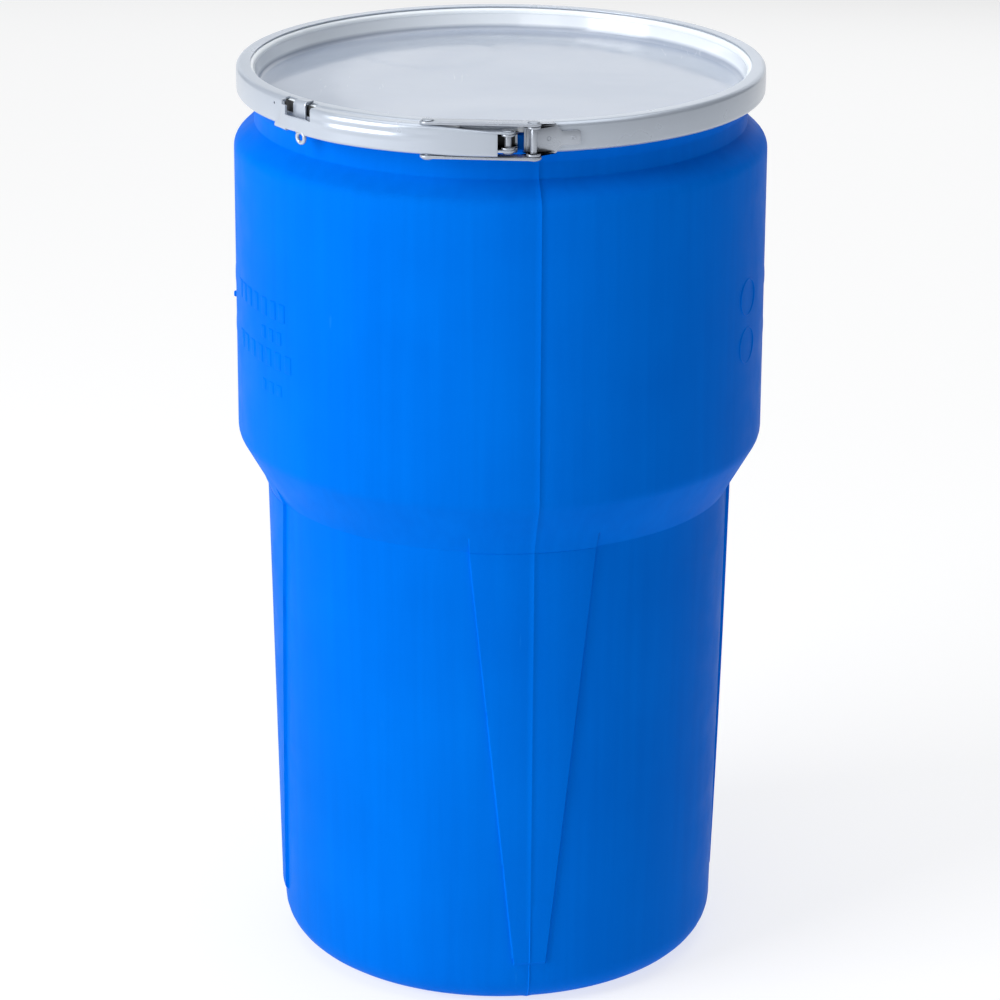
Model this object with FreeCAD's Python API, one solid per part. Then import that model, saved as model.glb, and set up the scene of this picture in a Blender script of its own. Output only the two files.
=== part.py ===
import FreeCAD, Part
import math
import os

V = FreeCAD.Vector

# ---------------------------------------------------------------- driving dimensions (mm, degrees)
# Azimuths run from the front of the drum (-Y) towards its right-hand side (+X).

# drum body, outside
FOOT_RADIUS = 163.3          # lower wall carried down to the floor
STEP_RADIUS = 170.3          # lower wall just under the step
HIP_RADIUS = 193.8           # upper wall just over the step
SHOULDER_RADIUS = 193.3      # upper wall just under the shoulder
NECK_RADIUS = 178.4
STEP_Z = 362.0
HIP_RISE = 41.0              # from the step up to the hip
SHOULDER_DROP = 56.0         # from the top face down to the shoulder
NECK_DROP = 42.0             # from the top face down to the neck
TOP_Z = 678.0                # top face of the closing ring
WALL = 4.5
BASE_PUSH_UP = 5.0
BASE_DISH_RADIUS = 112.0
BASE_LAND_RADIUS = 123.0
FOOT_FILLET = 26.0
HIP_FILLET = 17.0
SHOULDER_FILLET = 12.0

# raised marks on the body
PARTING_AZ = 8.4             # the mould's parting line
WEDGE_RISE = 2.1
WEDGE_TOP_HALF = 46.1
WEDGE_FOOT_HALF = 12.4
WEDGE_FOOT_Z = 35.0
MARK_RISE = 1.0
BAR_ROWS = (                 # low and high, from the upper wall's middle; first and last azimuth
    (2.0, 15.5, -76.0, -51.0),
    (-15.5, -6.0, -62.0, -53.0),
    (-34.5, -21.5, -76.0, -48.0),
    (-54.0, -45.5, -62.0, -53.0),
)
ROUNDEL_RADIUS = 14.5
ROUNDELS = (                 # azimuth, and height of the centre from the upper wall's middle
    (66.4, 11.0),
    (66.4, -25.0),
    (94.0, 4.5),
    (94.0, -33.5),
    (-94.0, 4.5),
    (-94.0, -33.5),
)
NUB_RADIUS = 2.3
NUB_RISE = 2.6
NUB_AT = (-90.0, -11.0)      # azimuth, and height from the upper wall's middle

# closing ring
RING_RADIUS = 191.0
RING_HEIGHT = 21.0
BAND_STEEL = 1.2
TOP_LIP_RADIUS = 180.5       # inner edge of the top lip
RING_GAP_AZ = (3.4, 4.75)    # the open gap at the closure
BAND_SPLIT_AZ = 180.0        # back of the band, where it flexes

# fits
LID_TO_RING = 0.3            # under the ring's top lip
FLANGE_TO_RING = 0.3         # over the ring's bottom lip
BAND_TO_FLANGE = 2.4         # between the rim flange and the band's wall
PLUG_CLEARANCE = 0.7         # lid plug in the mouth, radial
SKIRT_CLEARANCE = 0.5        # lid skirt round the rim land, radial
PIN_CLEARANCE = 0.05         # pins in the holes they turn in, radial
EAR_CLEARANCE = 0.2          # between stacked ears
STRAP_CLEARANCE = 0.3        # straps over the ring, and under the heads that turn

# lid and rim
LID_RECESS = 17.0
LID_FLOOR = 3.0
LID_WALL = 2.4
LID_FLANGE = 3.0
SKIRT_WALL = 2.2
SKIRT_DEPTH = 9.0
RIM_FLANGE_HEIGHT = 7.8
GASKET_HEIGHT = 2.8

# lever lock
PIN_CIRCLE = 196.9           # radius that all three pins stand on
FULCRUM_AZ = 1.45
LEVER_PIN_AZ = -14.5
CATCH_AZ = 6.5
PIN_RADIUS = 2.4
HEAD_RADIUS = 4.3
HEAD_HEIGHT = 1.2
SHEET = 1.5
STRAP = 2.0
STRAP_HALF_WIDTH = 5.5
LEVER_RADIUS = 202.0
LEVER_HALF_HEIGHT = 10.4
LEVER_AZ = (-53.0, -0.6)
LEVER_FLANGE_END_AZ = -7.0
EYE_RADIUS = 5.0
LEVER_EAR_OUTER = 7.1        # half height over the lever's ears
CATCH_EAR_OUTER = 10.3       # half height over the catch bracket's ears
TAB_AZ = -46.0
TAB_WIDTH = 12.0
TAB_STEEL = 1.4
EYE_HOLE_RADIUS = 2.2
EYE_HOLE_DROP = 4.0          # hole centre under the ring's bottom face
SEAL_HOLE_RADIUS = 0.8

# ---------------------------------------------------------------- derived heights and radii
HIP_Z = STEP_Z + HIP_RISE
SHOULDER_Z = TOP_Z - SHOULDER_DROP
NECK_Z = TOP_Z - NECK_DROP
MARKS_Z = (HIP_Z + SHOULDER_Z) / 2.0
RING_BOTTOM = TOP_Z - RING_HEIGHT
RING_MID = TOP_Z - RING_HEIGHT / 2.0
BAND_INNER = RING_RADIUS - BAND_STEEL
FLANGE_RADIUS = BAND_INNER - BAND_TO_FLANGE
FLANGE_Z = RING_BOTTOM + BAND_STEEL + FLANGE_TO_RING
COLLAR_RADIUS = NECK_RADIUS + 4.4
BOTTOM_LIP_RADIUS = COLLAR_RADIUS + 0.5
LID_TOP_Z = TOP_Z - BAND_STEEL - LID_TO_RING
LID_FLOOR_Z = TOP_Z - LID_RECESS
PLUG_RADIUS = NECK_RADIUS - 1.1
MOUTH_RADIUS = PLUG_RADIUS + PLUG_CLEARANCE
RIM_TOP_Z = LID_TOP_Z - LID_FLANGE - GASKET_HEIGHT
RIM_FLANGE_TOP = FLANGE_Z + RIM_FLANGE_HEIGHT
SKIRT_INNER = FLANGE_RADIUS - SKIRT_WALL
LAND_RADIUS = SKIRT_INNER - SKIRT_CLEARANCE
LEDGE_Z = LID_FLOOR_Z - LID_FLOOR - 1.2
FLANGE_EDGE_INNER = RING_RADIUS + 1.0
STRAP_LOW = RING_HEIGHT / 2.0 + STRAP_CLEARANCE


def polar(radius, azimuth, z=0.0):
    """Point at an azimuth measured from the front towards the right."""
    a = math.radians(azimuth)
    return V(radius * math.sin(a), -radius * math.cos(a), z)


def at_azimuth(shape, azimuth):
    """Turn a shape built facing the front to stand at an azimuth."""
    out = shape.copy()
    out.rotate(V(0, 0, 0), V(0, 0, 1), azimuth)
    return out


def about_mid(z):
    """Height measured from the ring's middle plane."""
    return RING_MID + z


def band(r_in, r_out, z_low, z_high, az_start, az_end):
    """Upright curved wall between two azimuths."""
    sweep = az_end - az_start
    height = z_high - z_low
    base = V(0, 0, z_low)
    outer = Part.makeCylinder(r_out, height, base, V(0, 0, 1), sweep)
    inner = Part.makeCylinder(r_in, height + 2.0, base - V(0, 0, 1), V(0, 0, 1), 360)
    wall = outer.cut(inner)
    wall.rotate(V(0, 0, 0), V(0, 0, 1), az_start - 90.0)
    return wall


def post(centre, radius, z_low, z_high):
    """Upright round bar."""
    return Part.makeCylinder(radius, z_high - z_low, V(centre.x, centre.y, z_low))


def slab(points, z_low, z_high):
    """Flat plate with a polygon outline."""
    outline = [V(p.x, p.y, z_low) for p in points]
    outline.append(outline[0])
    face = Part.Face(Part.makePolygon(outline))
    return face.extrude(V(0, 0, z_high - z_low))


def offset_corners(corners, distance):
    """Shift an open profile to its left by a wall thickness, with mitred corners."""
    out = []
    for i, (r, z, fillet) in enumerate(corners):
        normals = []
        if i > 0:
            normals.append(left_normal(corners[i - 1], corners[i]))
        if i < len(corners) - 1:
            normals.append(left_normal(corners[i], corners[i + 1]))
        first = normals[0]
        last = normals[-1]
        dot = first[0] * last[0] + first[1] * last[1]
        scale = distance / (1.0 + dot)
        turn = first[0] * last[1] - first[1] * last[0]
        new_fillet = 0.0
        if fillet > 0.0 and turn > 0.0:
            new_fillet = max(fillet - distance, 1.0)
        if fillet > 0.0 and turn < 0.0:
            new_fillet = fillet + distance
        out.append((r + scale * (first[0] + last[0]), z + scale * (first[1] + last[1]), new_fillet))
    return out


def left_normal(a, b):
    """Unit normal on the left of the line from one profile corner to the next."""
    dr = b[0] - a[0]
    dz = b[1] - a[1]
    size = math.hypot(dr, dz)
    return (-dz / size, dr / size)


def profile_edges(corners):
    """Closed profile in the XZ plane with its corners rounded."""
    count = len(corners)
    edges = []
    ends = []
    for i in range(count):
        before = V(corners[i - 1][0], 0, corners[i - 1][1])
        here = V(corners[i][0], 0, corners[i][1])
        after = V(corners[(i + 1) % count][0], 0, corners[(i + 1) % count][1])
        fillet = corners[i][2]
        if fillet <= 0.0:
            ends.append((here, here, None))
            continue
        to_before = (before - here).normalize()
        to_after = (after - here).normalize()
        half = to_before.getAngle(to_after) / 2.0
        run = fillet / math.tan(half)
        bisector = (to_before + to_after).normalize()
        centre = here + bisector * (fillet / math.sin(half))
        ends.append((here + to_before * run, here + to_after * run, centre - bisector * fillet))
    for i in range(count):
        start, stop, middle = ends[i]
        if middle is not None:
            edges.append(Part.Arc(start, middle, stop).toShape())
        following = ends[(i + 1) % count][0]
        if stop.distanceToPoint(following) > 1e-6:
            edges.append(Part.LineSegment(stop, following).toShape())
    return edges


def revolve(corners):
    """Solid of revolution about Z from a closed profile."""
    wire = Part.Wire(profile_edges(corners))
    return Part.Face(wire).revolve(V(0, 0, 0), V(0, 0, 1), 360)


def lower_wall_radius(z):
    """Outside radius of the lower wall at a height."""
    return FOOT_RADIUS + (STEP_RADIUS - FOOT_RADIUS) * z / STEP_Z


# ---------------------------------------------------------------- drum body
def drum_shell():
    """Blow-moulded shell with its rim flange and sealing land."""
    outside = [
        (0.0, BASE_PUSH_UP, 0.0),
        (BASE_DISH_RADIUS, BASE_PUSH_UP, 6.0),
        (BASE_LAND_RADIUS, 0.0, 6.0),
        (FOOT_RADIUS, 0.0, FOOT_FILLET),
        (STEP_RADIUS, STEP_Z, 3.0),
        (HIP_RADIUS, HIP_Z, HIP_FILLET),
        (SHOULDER_RADIUS, SHOULDER_Z, SHOULDER_FILLET),
        (NECK_RADIUS, NECK_Z, 1.5),
        (NECK_RADIUS, RING_BOTTOM - 9.0, 5.0),
        (COLLAR_RADIUS, RING_BOTTOM - 0.6, 1.0),
    ]
    inside = offset_corners(outside, WALL)[:-1]
    neck_top = (inside[-1][0], LEDGE_Z - 2.0, 0.0)
    inside[-1] = neck_top
    rim = [
        (COLLAR_RADIUS, FLANGE_Z, 0.0),
        (FLANGE_RADIUS, FLANGE_Z, 1.0),
        (FLANGE_RADIUS, RIM_FLANGE_TOP, 1.0),
        (LAND_RADIUS, RIM_FLANGE_TOP, 0.8),
        (LAND_RADIUS, RIM_TOP_Z, 1.0),
        (MOUTH_RADIUS, RIM_TOP_Z, 1.0),
        (MOUTH_RADIUS, LEDGE_Z, 0.0),
    ]
    return revolve(outside + rim + list(reversed(inside)))


def nesting_wedge():
    """Raised tapering panel on the front of the lower wall."""
    low = WEDGE_FOOT_Z
    high = STEP_Z + 3.0
    r_low = lower_wall_radius(low)
    r_high = lower_wall_radius(high)
    skin = revolve([
        (r_low - 1.5, low, 0.0),
        (r_low + WEDGE_RISE, low, 0.0),
        (r_high + WEDGE_RISE, high, 0.0),
        (r_high - 1.5, high, 0.0),
    ])
    outline = [
        V(-WEDGE_FOOT_HALF, 0, low - 1.0),
        V(WEDGE_FOOT_HALF, 0, low - 1.0),
        V(WEDGE_TOP_HALF, 0, high + 1.0),
        V(-WEDGE_TOP_HALF, 0, high + 1.0),
        V(-WEDGE_FOOT_HALF, 0, low - 1.0),
    ]
    prism = Part.Face(Part.makePolygon(outline)).extrude(V(0, -2.0 * HIP_RADIUS, 0))
    return skin.common(prism)


def blank_bars():
    """Plain raised bars on the left of the upper wall."""
    outer = SHOULDER_RADIUS + MARK_RISE
    inner = SHOULDER_RADIUS - 2.0
    bars = []
    for low, high, start, stop in BAR_ROWS:
        bars.append(band(inner, outer, MARKS_Z + low, MARKS_Z + high, start, stop))
    return bars


def blank_roundels():
    """Plain raised discs on the sides of the upper wall."""
    discs = []
    for azimuth, height in ROUNDELS:
        z = MARKS_Z + height
        bar = Part.makeCylinder(ROUNDEL_RADIUS, 2.0 * RING_RADIUS, V(0, 0, z), V(0, -1, 0))
        skin = band(SHOULDER_RADIUS - 2.0, SHOULDER_RADIUS + MARK_RISE, z - 20.0, z + 20.0, -10.0, 10.0)
        discs.append(at_azimuth(bar.common(skin), azimuth))
    return discs


def moulding_nub():
    """Small round nub left on the side wall."""
    azimuth, height = NUB_AT
    inner = SHOULDER_RADIUS - 2.0
    nub = Part.makeCylinder(NUB_RADIUS, 2.0 + NUB_RISE, V(0, -inner, MARKS_Z + height), V(0, -1, 0))
    return at_azimuth(nub, azimuth)


def drum_body():
    """The blow-moulded drum with its raised panels and marks."""
    wedge = nesting_wedge()
    wedges = [at_azimuth(wedge, PARTING_AZ + turn) for turn in (0.0, 90.0, 180.0, 270.0)]
    body = drum_shell().fuse(wedges + blank_bars() + blank_roundels() + [moulding_nub()])
    return body.removeSplitter()


# ---------------------------------------------------------------- lid
def lid_cover():
    """Recessed moulded lid: floor, plug wall, flange and skirt."""
    wall_in = PLUG_RADIUS - LID_WALL
    under_flange = LID_TOP_Z - LID_FLANGE
    return revolve([
        (0.0, LID_FLOOR_Z - LID_FLOOR, 0.0),
        (PLUG_RADIUS - 0.4, LID_FLOOR_Z - LID_FLOOR, 2.5),
        (PLUG_RADIUS, under_flange, 0.0),
        (SKIRT_INNER, under_flange, 0.0),
        (SKIRT_INNER, LID_TOP_Z - SKIRT_DEPTH, 0.0),
        (FLANGE_RADIUS, LID_TOP_Z - SKIRT_DEPTH, 0.6),
        (FLANGE_RADIUS, LID_TOP_Z, 2.0),
        (wall_in + 3.2, LID_TOP_Z, 3.0),
        (wall_in, LID_FLOOR_Z, 3.0),
        (0.0, LID_FLOOR_Z, 0.0),
    ])


def lid_gasket():
    """Flat rubber seal between the lid's flange and the rim land."""
    return revolve([
        (PLUG_RADIUS + 1.3, RIM_TOP_Z, 0.6),
        (LAND_RADIUS - 0.3, RIM_TOP_Z, 0.6),
        (LAND_RADIUS - 0.3, RIM_TOP_Z + GASKET_HEIGHT, 0.0),
        (PLUG_RADIUS + 1.3, RIM_TOP_Z + GASKET_HEIGHT, 0.0),
    ])


# ---------------------------------------------------------------- ring
def band_half(az_start, az_end):
    """Half of the U-section closing ring."""
    wall = band(BAND_INNER, RING_RADIUS, RING_BOTTOM, TOP_Z, az_start, az_end)
    top = band(TOP_LIP_RADIUS, RING_RADIUS, TOP_Z - BAND_STEEL, TOP_Z, az_start, az_end)
    bottom = band(BOTTOM_LIP_RADIUS, RING_RADIUS, RING_BOTTOM, RING_BOTTOM + BAND_STEEL, az_start, az_end)
    return wall.fuse([top, bottom]).removeSplitter()


def ring_band_left():
    """Left half of the band, which carries the lever."""
    half = band_half(BAND_SPLIT_AZ - 360.0, RING_GAP_AZ[0])
    hole = Part.makeCylinder(SEAL_HOLE_RADIUS, 2.0 * RING_RADIUS, V(0, 0, about_mid(4.3)), V(0, -1, 0))
    return half.cut(at_azimuth(hole, -55.6))


def ring_band_right():
    """Right half of the band, which carries the catch."""
    return band_half(RING_GAP_AZ[1], BAND_SPLIT_AZ)


def ear(azimuth, z_low, z_high, half_root, hole_radius):
    """Flat ear standing out from the ring round a pin."""
    centre = polar(PIN_CIRCLE, azimuth)
    turn = math.degrees(half_root / RING_RADIUS)
    root_radius = RING_RADIUS + SHEET / 2.0
    eye = post(centre, EYE_RADIUS, z_low, z_high)
    side = math.degrees(EYE_RADIUS / PIN_CIRCLE)
    root = slab([
        polar(root_radius, azimuth - turn),
        polar(root_radius, azimuth + side),
        polar(PIN_CIRCLE, azimuth + side),
        polar(PIN_CIRCLE, azimuth - side),
    ], z_low, z_high)
    plate = eye.fuse(root)
    return plate.cut(post(centre, hole_radius, z_low - 1.0, z_high + 1.0))


def fulcrum_bracket():
    """Bent sheet bracket for the lever's fulcrum pin, welded to the band."""
    outer = LEVER_EAR_OUTER - SHEET - EAR_CLEARANCE
    web = band(RING_RADIUS, RING_RADIUS + SHEET, about_mid(-outer), about_mid(outer), -9.0, 2.9)
    top = ear(FULCRUM_AZ, about_mid(outer - SHEET), about_mid(outer), 8.0, PIN_RADIUS)
    bottom = ear(FULCRUM_AZ, about_mid(-outer), about_mid(SHEET - outer), 8.0, PIN_RADIUS)
    room = band(RING_RADIUS - 3.0, RING_RADIUS, about_mid(-outer), about_mid(outer), -12.0, 12.0)
    return web.fuse([top, bottom]).cut(room).removeSplitter()


def catch_bracket():
    """Bent sheet bracket for the catch pin, with its welded tongue."""
    outer = CATCH_EAR_OUTER
    web = band(RING_RADIUS, RING_RADIUS + SHEET, about_mid(-outer), about_mid(outer), 5.2, 11.3)
    neck = band(RING_RADIUS, RING_RADIUS + SHEET, about_mid(-7.5), about_mid(7.5), 11.3, 12.6)
    tongue = band(RING_RADIUS, RING_RADIUS + SHEET, about_mid(-5.0), about_mid(5.0), 12.6, 16.4)
    top = ear(CATCH_AZ, about_mid(outer - SHEET), about_mid(outer), -8.0, PIN_RADIUS)
    bottom = ear(CATCH_AZ, about_mid(-outer), about_mid(SHEET - outer), -8.0, PIN_RADIUS)
    room = band(RING_RADIUS - 3.0, RING_RADIUS, about_mid(-outer), about_mid(outer), -12.0, 20.0)
    gussets = [catch_gusset(outer - SHEET, outer), catch_gusset(-outer, SHEET - outer)]
    parts = [neck, tongue, top, bottom] + gussets
    return web.fuse(parts).cut(room).removeSplitter()


def catch_gusset(z_low, z_high):
    """Part of the catch bracket's ear that runs back along the web."""
    plate = slab([
        polar(RING_RADIUS + SHEET / 2.0, CATCH_AZ - 1.0),
        polar(RING_RADIUS + SHEET / 2.0, CATCH_AZ + 4.0),
        polar(PIN_CIRCLE + 2.0, CATCH_AZ + 1.2),
        polar(PIN_CIRCLE, CATCH_AZ - 1.2),
    ], about_mid(z_low), about_mid(z_high))
    return plate.cut(post(polar(PIN_CIRCLE, CATCH_AZ), PIN_RADIUS, RING_BOTTOM, TOP_Z))


def seal_tab():
    """Strip hooked over the band, with the padlock eye under the ring."""
    half = math.degrees(TAB_WIDTH / 2.0 / RING_RADIUS)
    narrow = half * 0.85
    r_out = RING_RADIUS + TAB_STEEL
    eye_z = RING_BOTTOM - EYE_HOLE_DROP
    top = band(RING_RADIUS - 7.0, r_out, TOP_Z, TOP_Z + TAB_STEEL, -half, half)
    strip = band(RING_RADIUS, r_out, RING_BOTTOM, TOP_Z + TAB_STEEL, -half, half)
    foot = band(RING_RADIUS, r_out, eye_z, RING_BOTTOM, -narrow, narrow)
    skin = band(RING_RADIUS, r_out, eye_z - 12.0, eye_z + 12.0, -5.0, 5.0)
    eye = Part.makeCylinder(TAB_WIDTH * 0.425, 2.0 * RING_RADIUS, V(0, 0, eye_z), V(0, -1, 0)).common(skin)
    hole = Part.makeCylinder(EYE_HOLE_RADIUS, 2.0 * RING_RADIUS, V(0, 0, eye_z), V(0, -1, 0))
    tab = top.fuse([strip, foot, eye]).cut(hole)
    return at_azimuth(tab.removeSplitter(), TAB_AZ)


# ---------------------------------------------------------------- lever and links
def lever_ear(z_low, z_high):
    """Ear of the lever round the fulcrum pin."""
    centre = polar(PIN_CIRCLE, FULCRUM_AZ)
    eye = post(centre, EYE_RADIUS, z_low, z_high)
    arm = slab([
        polar(FLANGE_EDGE_INNER + 1.0, LEVER_FLANGE_END_AZ - 2.0),
        polar(PIN_CIRCLE - EYE_RADIUS, FULCRUM_AZ),
        polar(PIN_CIRCLE + EYE_RADIUS, FULCRUM_AZ),
        polar(LEVER_RADIUS - SHEET / 2.0, LEVER_AZ[1]),
        polar(LEVER_RADIUS - SHEET / 2.0, LEVER_FLANGE_END_AZ - 2.0),
    ], z_low, z_high)
    return eye.fuse(arm)


def lever():
    """Curved channel lever that wraps the front left of the ring."""
    half = LEVER_HALF_HEIGHT
    inner = LEVER_RADIUS - SHEET
    main = band(inner, LEVER_RADIUS, about_mid(-half), about_mid(half), LEVER_AZ[0], LEVER_FLANGE_END_AZ)
    nose = band(inner, LEVER_RADIUS, about_mid(-LEVER_EAR_OUTER), about_mid(LEVER_EAR_OUTER),
                LEVER_FLANGE_END_AZ, LEVER_AZ[1])
    end = LEVER_FLANGE_END_AZ
    top = band(FLANGE_EDGE_INNER, LEVER_RADIUS, about_mid(half - SHEET), about_mid(half), LEVER_AZ[0], end)
    low, high = about_mid(-half), about_mid(SHEET - half)
    bottom = band(FLANGE_EDGE_INNER, LEVER_RADIUS, low, high, LEVER_AZ[0], end)
    step_z = LEVER_EAR_OUTER - SHEET
    riser = (end - 0.45, end)
    step_top = band(FLANGE_EDGE_INNER + 2.0, LEVER_RADIUS, about_mid(step_z), about_mid(half), *riser)
    step_low = band(FLANGE_EDGE_INNER + 2.0, LEVER_RADIUS, about_mid(-half), about_mid(-step_z), *riser)
    ears = [
        lever_ear(about_mid(step_z), about_mid(LEVER_EAR_OUTER)),
        lever_ear(about_mid(-LEVER_EAR_OUTER), about_mid(-step_z)),
    ]
    body = main.fuse([nose, top, bottom, step_top, step_low] + ears)
    return body.cut(lever_openings()).removeSplitter()


def lever_openings():
    """Pin holes of the lever and the notches that pass the seal tab."""
    fulcrum = post(polar(PIN_CIRCLE, FULCRUM_AZ), PIN_RADIUS + PIN_CLEARANCE, RING_BOTTOM - 5, TOP_Z + 5)
    linkage = post(polar(PIN_CIRCLE, LEVER_PIN_AZ), PIN_RADIUS, RING_BOTTOM - 5, TOP_Z + 5)
    half = math.degrees((TAB_WIDTH / 2.0 + 5.0) / RING_RADIUS)
    notch = band(RING_RADIUS, RING_RADIUS + 6.5, RING_BOTTOM - 5, TOP_Z + 5, TAB_AZ - half, TAB_AZ + half)
    return [fulcrum, linkage, notch]


def strap(z_low):
    """Flat link from the lever to the catch pin."""
    start = polar(PIN_CIRCLE, LEVER_PIN_AZ)
    stop = polar(PIN_CIRCLE, CATCH_AZ)
    along = (stop - start).normalize()
    side = V(-along.y, along.x, 0) * STRAP_HALF_WIDTH
    low = about_mid(z_low)
    high = low + STRAP
    bar = slab([start + side, stop + side, stop - side, start - side], low, high)
    bar = bar.fuse([post(start, STRAP_HALF_WIDTH, low, high), post(stop, STRAP_HALF_WIDTH, low, high)])
    holes = [
        post(start, PIN_RADIUS + PIN_CLEARANCE, low - 1, high + 1),
        post(stop, PIN_RADIUS, low - 1, high + 1),
    ]
    return bar.cut(holes).removeSplitter()


def link_top():
    """Upper link strap."""
    return strap(STRAP_LOW)


def link_bottom():
    """Lower link strap."""
    return strap(-STRAP_LOW - STRAP)


def headed_pin(centre, half_length):
    """Upright pin with a flat-domed head at each end."""
    pin = post(centre, PIN_RADIUS, about_mid(-half_length), about_mid(half_length))
    top = head(centre, about_mid(half_length), 1.0)
    bottom = head(centre, about_mid(-half_length), -1.0)
    return pin.fuse([top, bottom]).removeSplitter()


def head(centre, z, direction):
    """Domed rivet head."""
    cone = Part.makeCone(HEAD_RADIUS, HEAD_RADIUS * 0.62, HEAD_HEIGHT, V(centre.x, centre.y, z),
                         V(0, 0, direction))
    return cone


def fulcrum_pin():
    """Rivet that the lever turns on."""
    return headed_pin(polar(PIN_CIRCLE, FULCRUM_AZ), LEVER_EAR_OUTER + EAR_CLEARANCE)


def lever_rivet():
    """Rivet through the lever and both link straps."""
    return headed_pin(polar(PIN_CIRCLE, LEVER_PIN_AZ), STRAP_LOW + STRAP + EAR_CLEARANCE)


def catch_pin():
    """Pin held in the catch bracket's ears, between the straps."""
    centre = polar(PIN_CIRCLE, CATCH_AZ)
    reach = CATCH_EAR_OUTER + 0.2
    return post(centre, PIN_RADIUS, about_mid(-reach), about_mid(reach))


def catch_head(direction):
    """Riveted end of the catch pin, held in a link strap."""
    centre = polar(PIN_CIRCLE, CATCH_AZ)
    inner = about_mid(direction * STRAP_LOW)
    outer = about_mid(direction * (STRAP_LOW + STRAP))
    stub = post(centre, PIN_RADIUS, min(inner, outer), max(inner, outer))
    return stub.fuse(head(centre, outer, direction)).removeSplitter()


def catch_head_top():
    """Upper riveted end of the catch pin."""
    return catch_head(1.0)


def catch_head_bottom():
    """Lower riveted end of the catch pin."""
    return catch_head(-1.0)


NODES = {
    "drum_body": drum_body,
    "lid_cover": lid_cover,
    "lid_gasket": lid_gasket,
    "ring_band_left": ring_band_left,
    "ring_band_right": ring_band_right,
    "fulcrum_bracket": fulcrum_bracket,
    "catch_bracket": catch_bracket,
    "seal_tab": seal_tab,
    "lever": lever,
    "link_top": link_top,
    "link_bottom": link_bottom,
    "fulcrum_pin": fulcrum_pin,
    "lever_rivet": lever_rivet,
    "catch_pin": catch_pin,
    "catch_head_top": catch_head_top,
    "catch_head_bottom": catch_head_bottom,
}


def main():
    """Write one STEP file per piece."""
    os.makedirs("parts", exist_ok=True)
    for name, build in NODES.items():
        shape = build()
        shape.exportStep("parts/" + name + ".step")
        print(name, "solids", len(shape.Solids), "valid", shape.isValid(), "volume", round(shape.Volume))


main()
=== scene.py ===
"""Open head drum: stepped plastic body, recessed lid and a steel ring with a lever lock."""

import logging
import math
from dataclasses import dataclass
from enum import Enum
from typing import Callable, Sequence

import bmesh
import bpy
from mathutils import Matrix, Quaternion, Vector, noise

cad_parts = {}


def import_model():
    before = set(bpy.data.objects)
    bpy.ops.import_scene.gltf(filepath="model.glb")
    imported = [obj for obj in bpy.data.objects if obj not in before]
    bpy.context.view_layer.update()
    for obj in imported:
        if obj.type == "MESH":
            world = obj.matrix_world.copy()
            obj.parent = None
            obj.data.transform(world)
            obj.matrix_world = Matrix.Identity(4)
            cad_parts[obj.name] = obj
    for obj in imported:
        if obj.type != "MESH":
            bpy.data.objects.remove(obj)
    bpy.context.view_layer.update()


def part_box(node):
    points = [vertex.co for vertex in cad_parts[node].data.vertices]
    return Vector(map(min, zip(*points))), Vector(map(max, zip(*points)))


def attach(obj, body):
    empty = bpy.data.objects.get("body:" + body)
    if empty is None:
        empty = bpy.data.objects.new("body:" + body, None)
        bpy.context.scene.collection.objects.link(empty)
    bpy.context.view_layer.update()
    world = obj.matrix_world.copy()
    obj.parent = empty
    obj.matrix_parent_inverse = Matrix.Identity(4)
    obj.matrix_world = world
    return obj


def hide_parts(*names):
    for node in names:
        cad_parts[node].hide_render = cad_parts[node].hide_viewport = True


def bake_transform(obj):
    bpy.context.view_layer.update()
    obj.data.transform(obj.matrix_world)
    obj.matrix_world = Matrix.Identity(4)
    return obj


LOG = logging.getLogger("drum")
MM = 0.001
SPIN_STEPS = 256

Corner = tuple[float, float, float]
Point2 = tuple[float, float]
Test = Callable[[Vector], bool]
Weight = Callable[[Vector], float]
Piece = bpy.types.Object
Socket = bpy.types.NodeSocket


# ---------------------------------------------------------------- small geometry
def on_ring(radius: float, azimuth: float, height: float) -> Vector:
    """Finds a point from its distance to the drum's axis.

    Args:
        radius: distance from the axis, in metres.
        azimuth: degrees from the front (-Y) towards the right (+X).
        height: metres above the floor.

    Returns:
        The point.
    """
    turn = math.radians(azimuth)
    return Vector((radius * math.sin(turn), -radius * math.cos(turn), height))


def azimuth_of(point: Vector) -> float:
    """Degrees from the front towards the right of a point round the axis."""
    return math.degrees(math.atan2(point.x, -point.y))


def turn_from(point: Vector, azimuth: float) -> float:
    """Degrees from an azimuth to a point's own, the short way round."""
    return (azimuth_of(point) - azimuth + 180.0) % 360.0 - 180.0


def beside(azimuth: float, reach: float = 0.05) -> Test:
    """Makes a test for places within some degrees of an azimuth."""
    return lambda place: abs(azimuth_of(place) - azimuth) < reach


def radius_of(point: Vector) -> float:
    """Distance of a point from the drum's axis."""
    return math.hypot(point.x, point.y)


def ease(value: float, start: float, stop: float) -> float:
    """Climbs smoothly from 0 at start to 1 at stop."""
    share = min(max((value - start) / (stop - start), 0.0), 1.0)
    return share * share * (3.0 - 2.0 * share)


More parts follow.
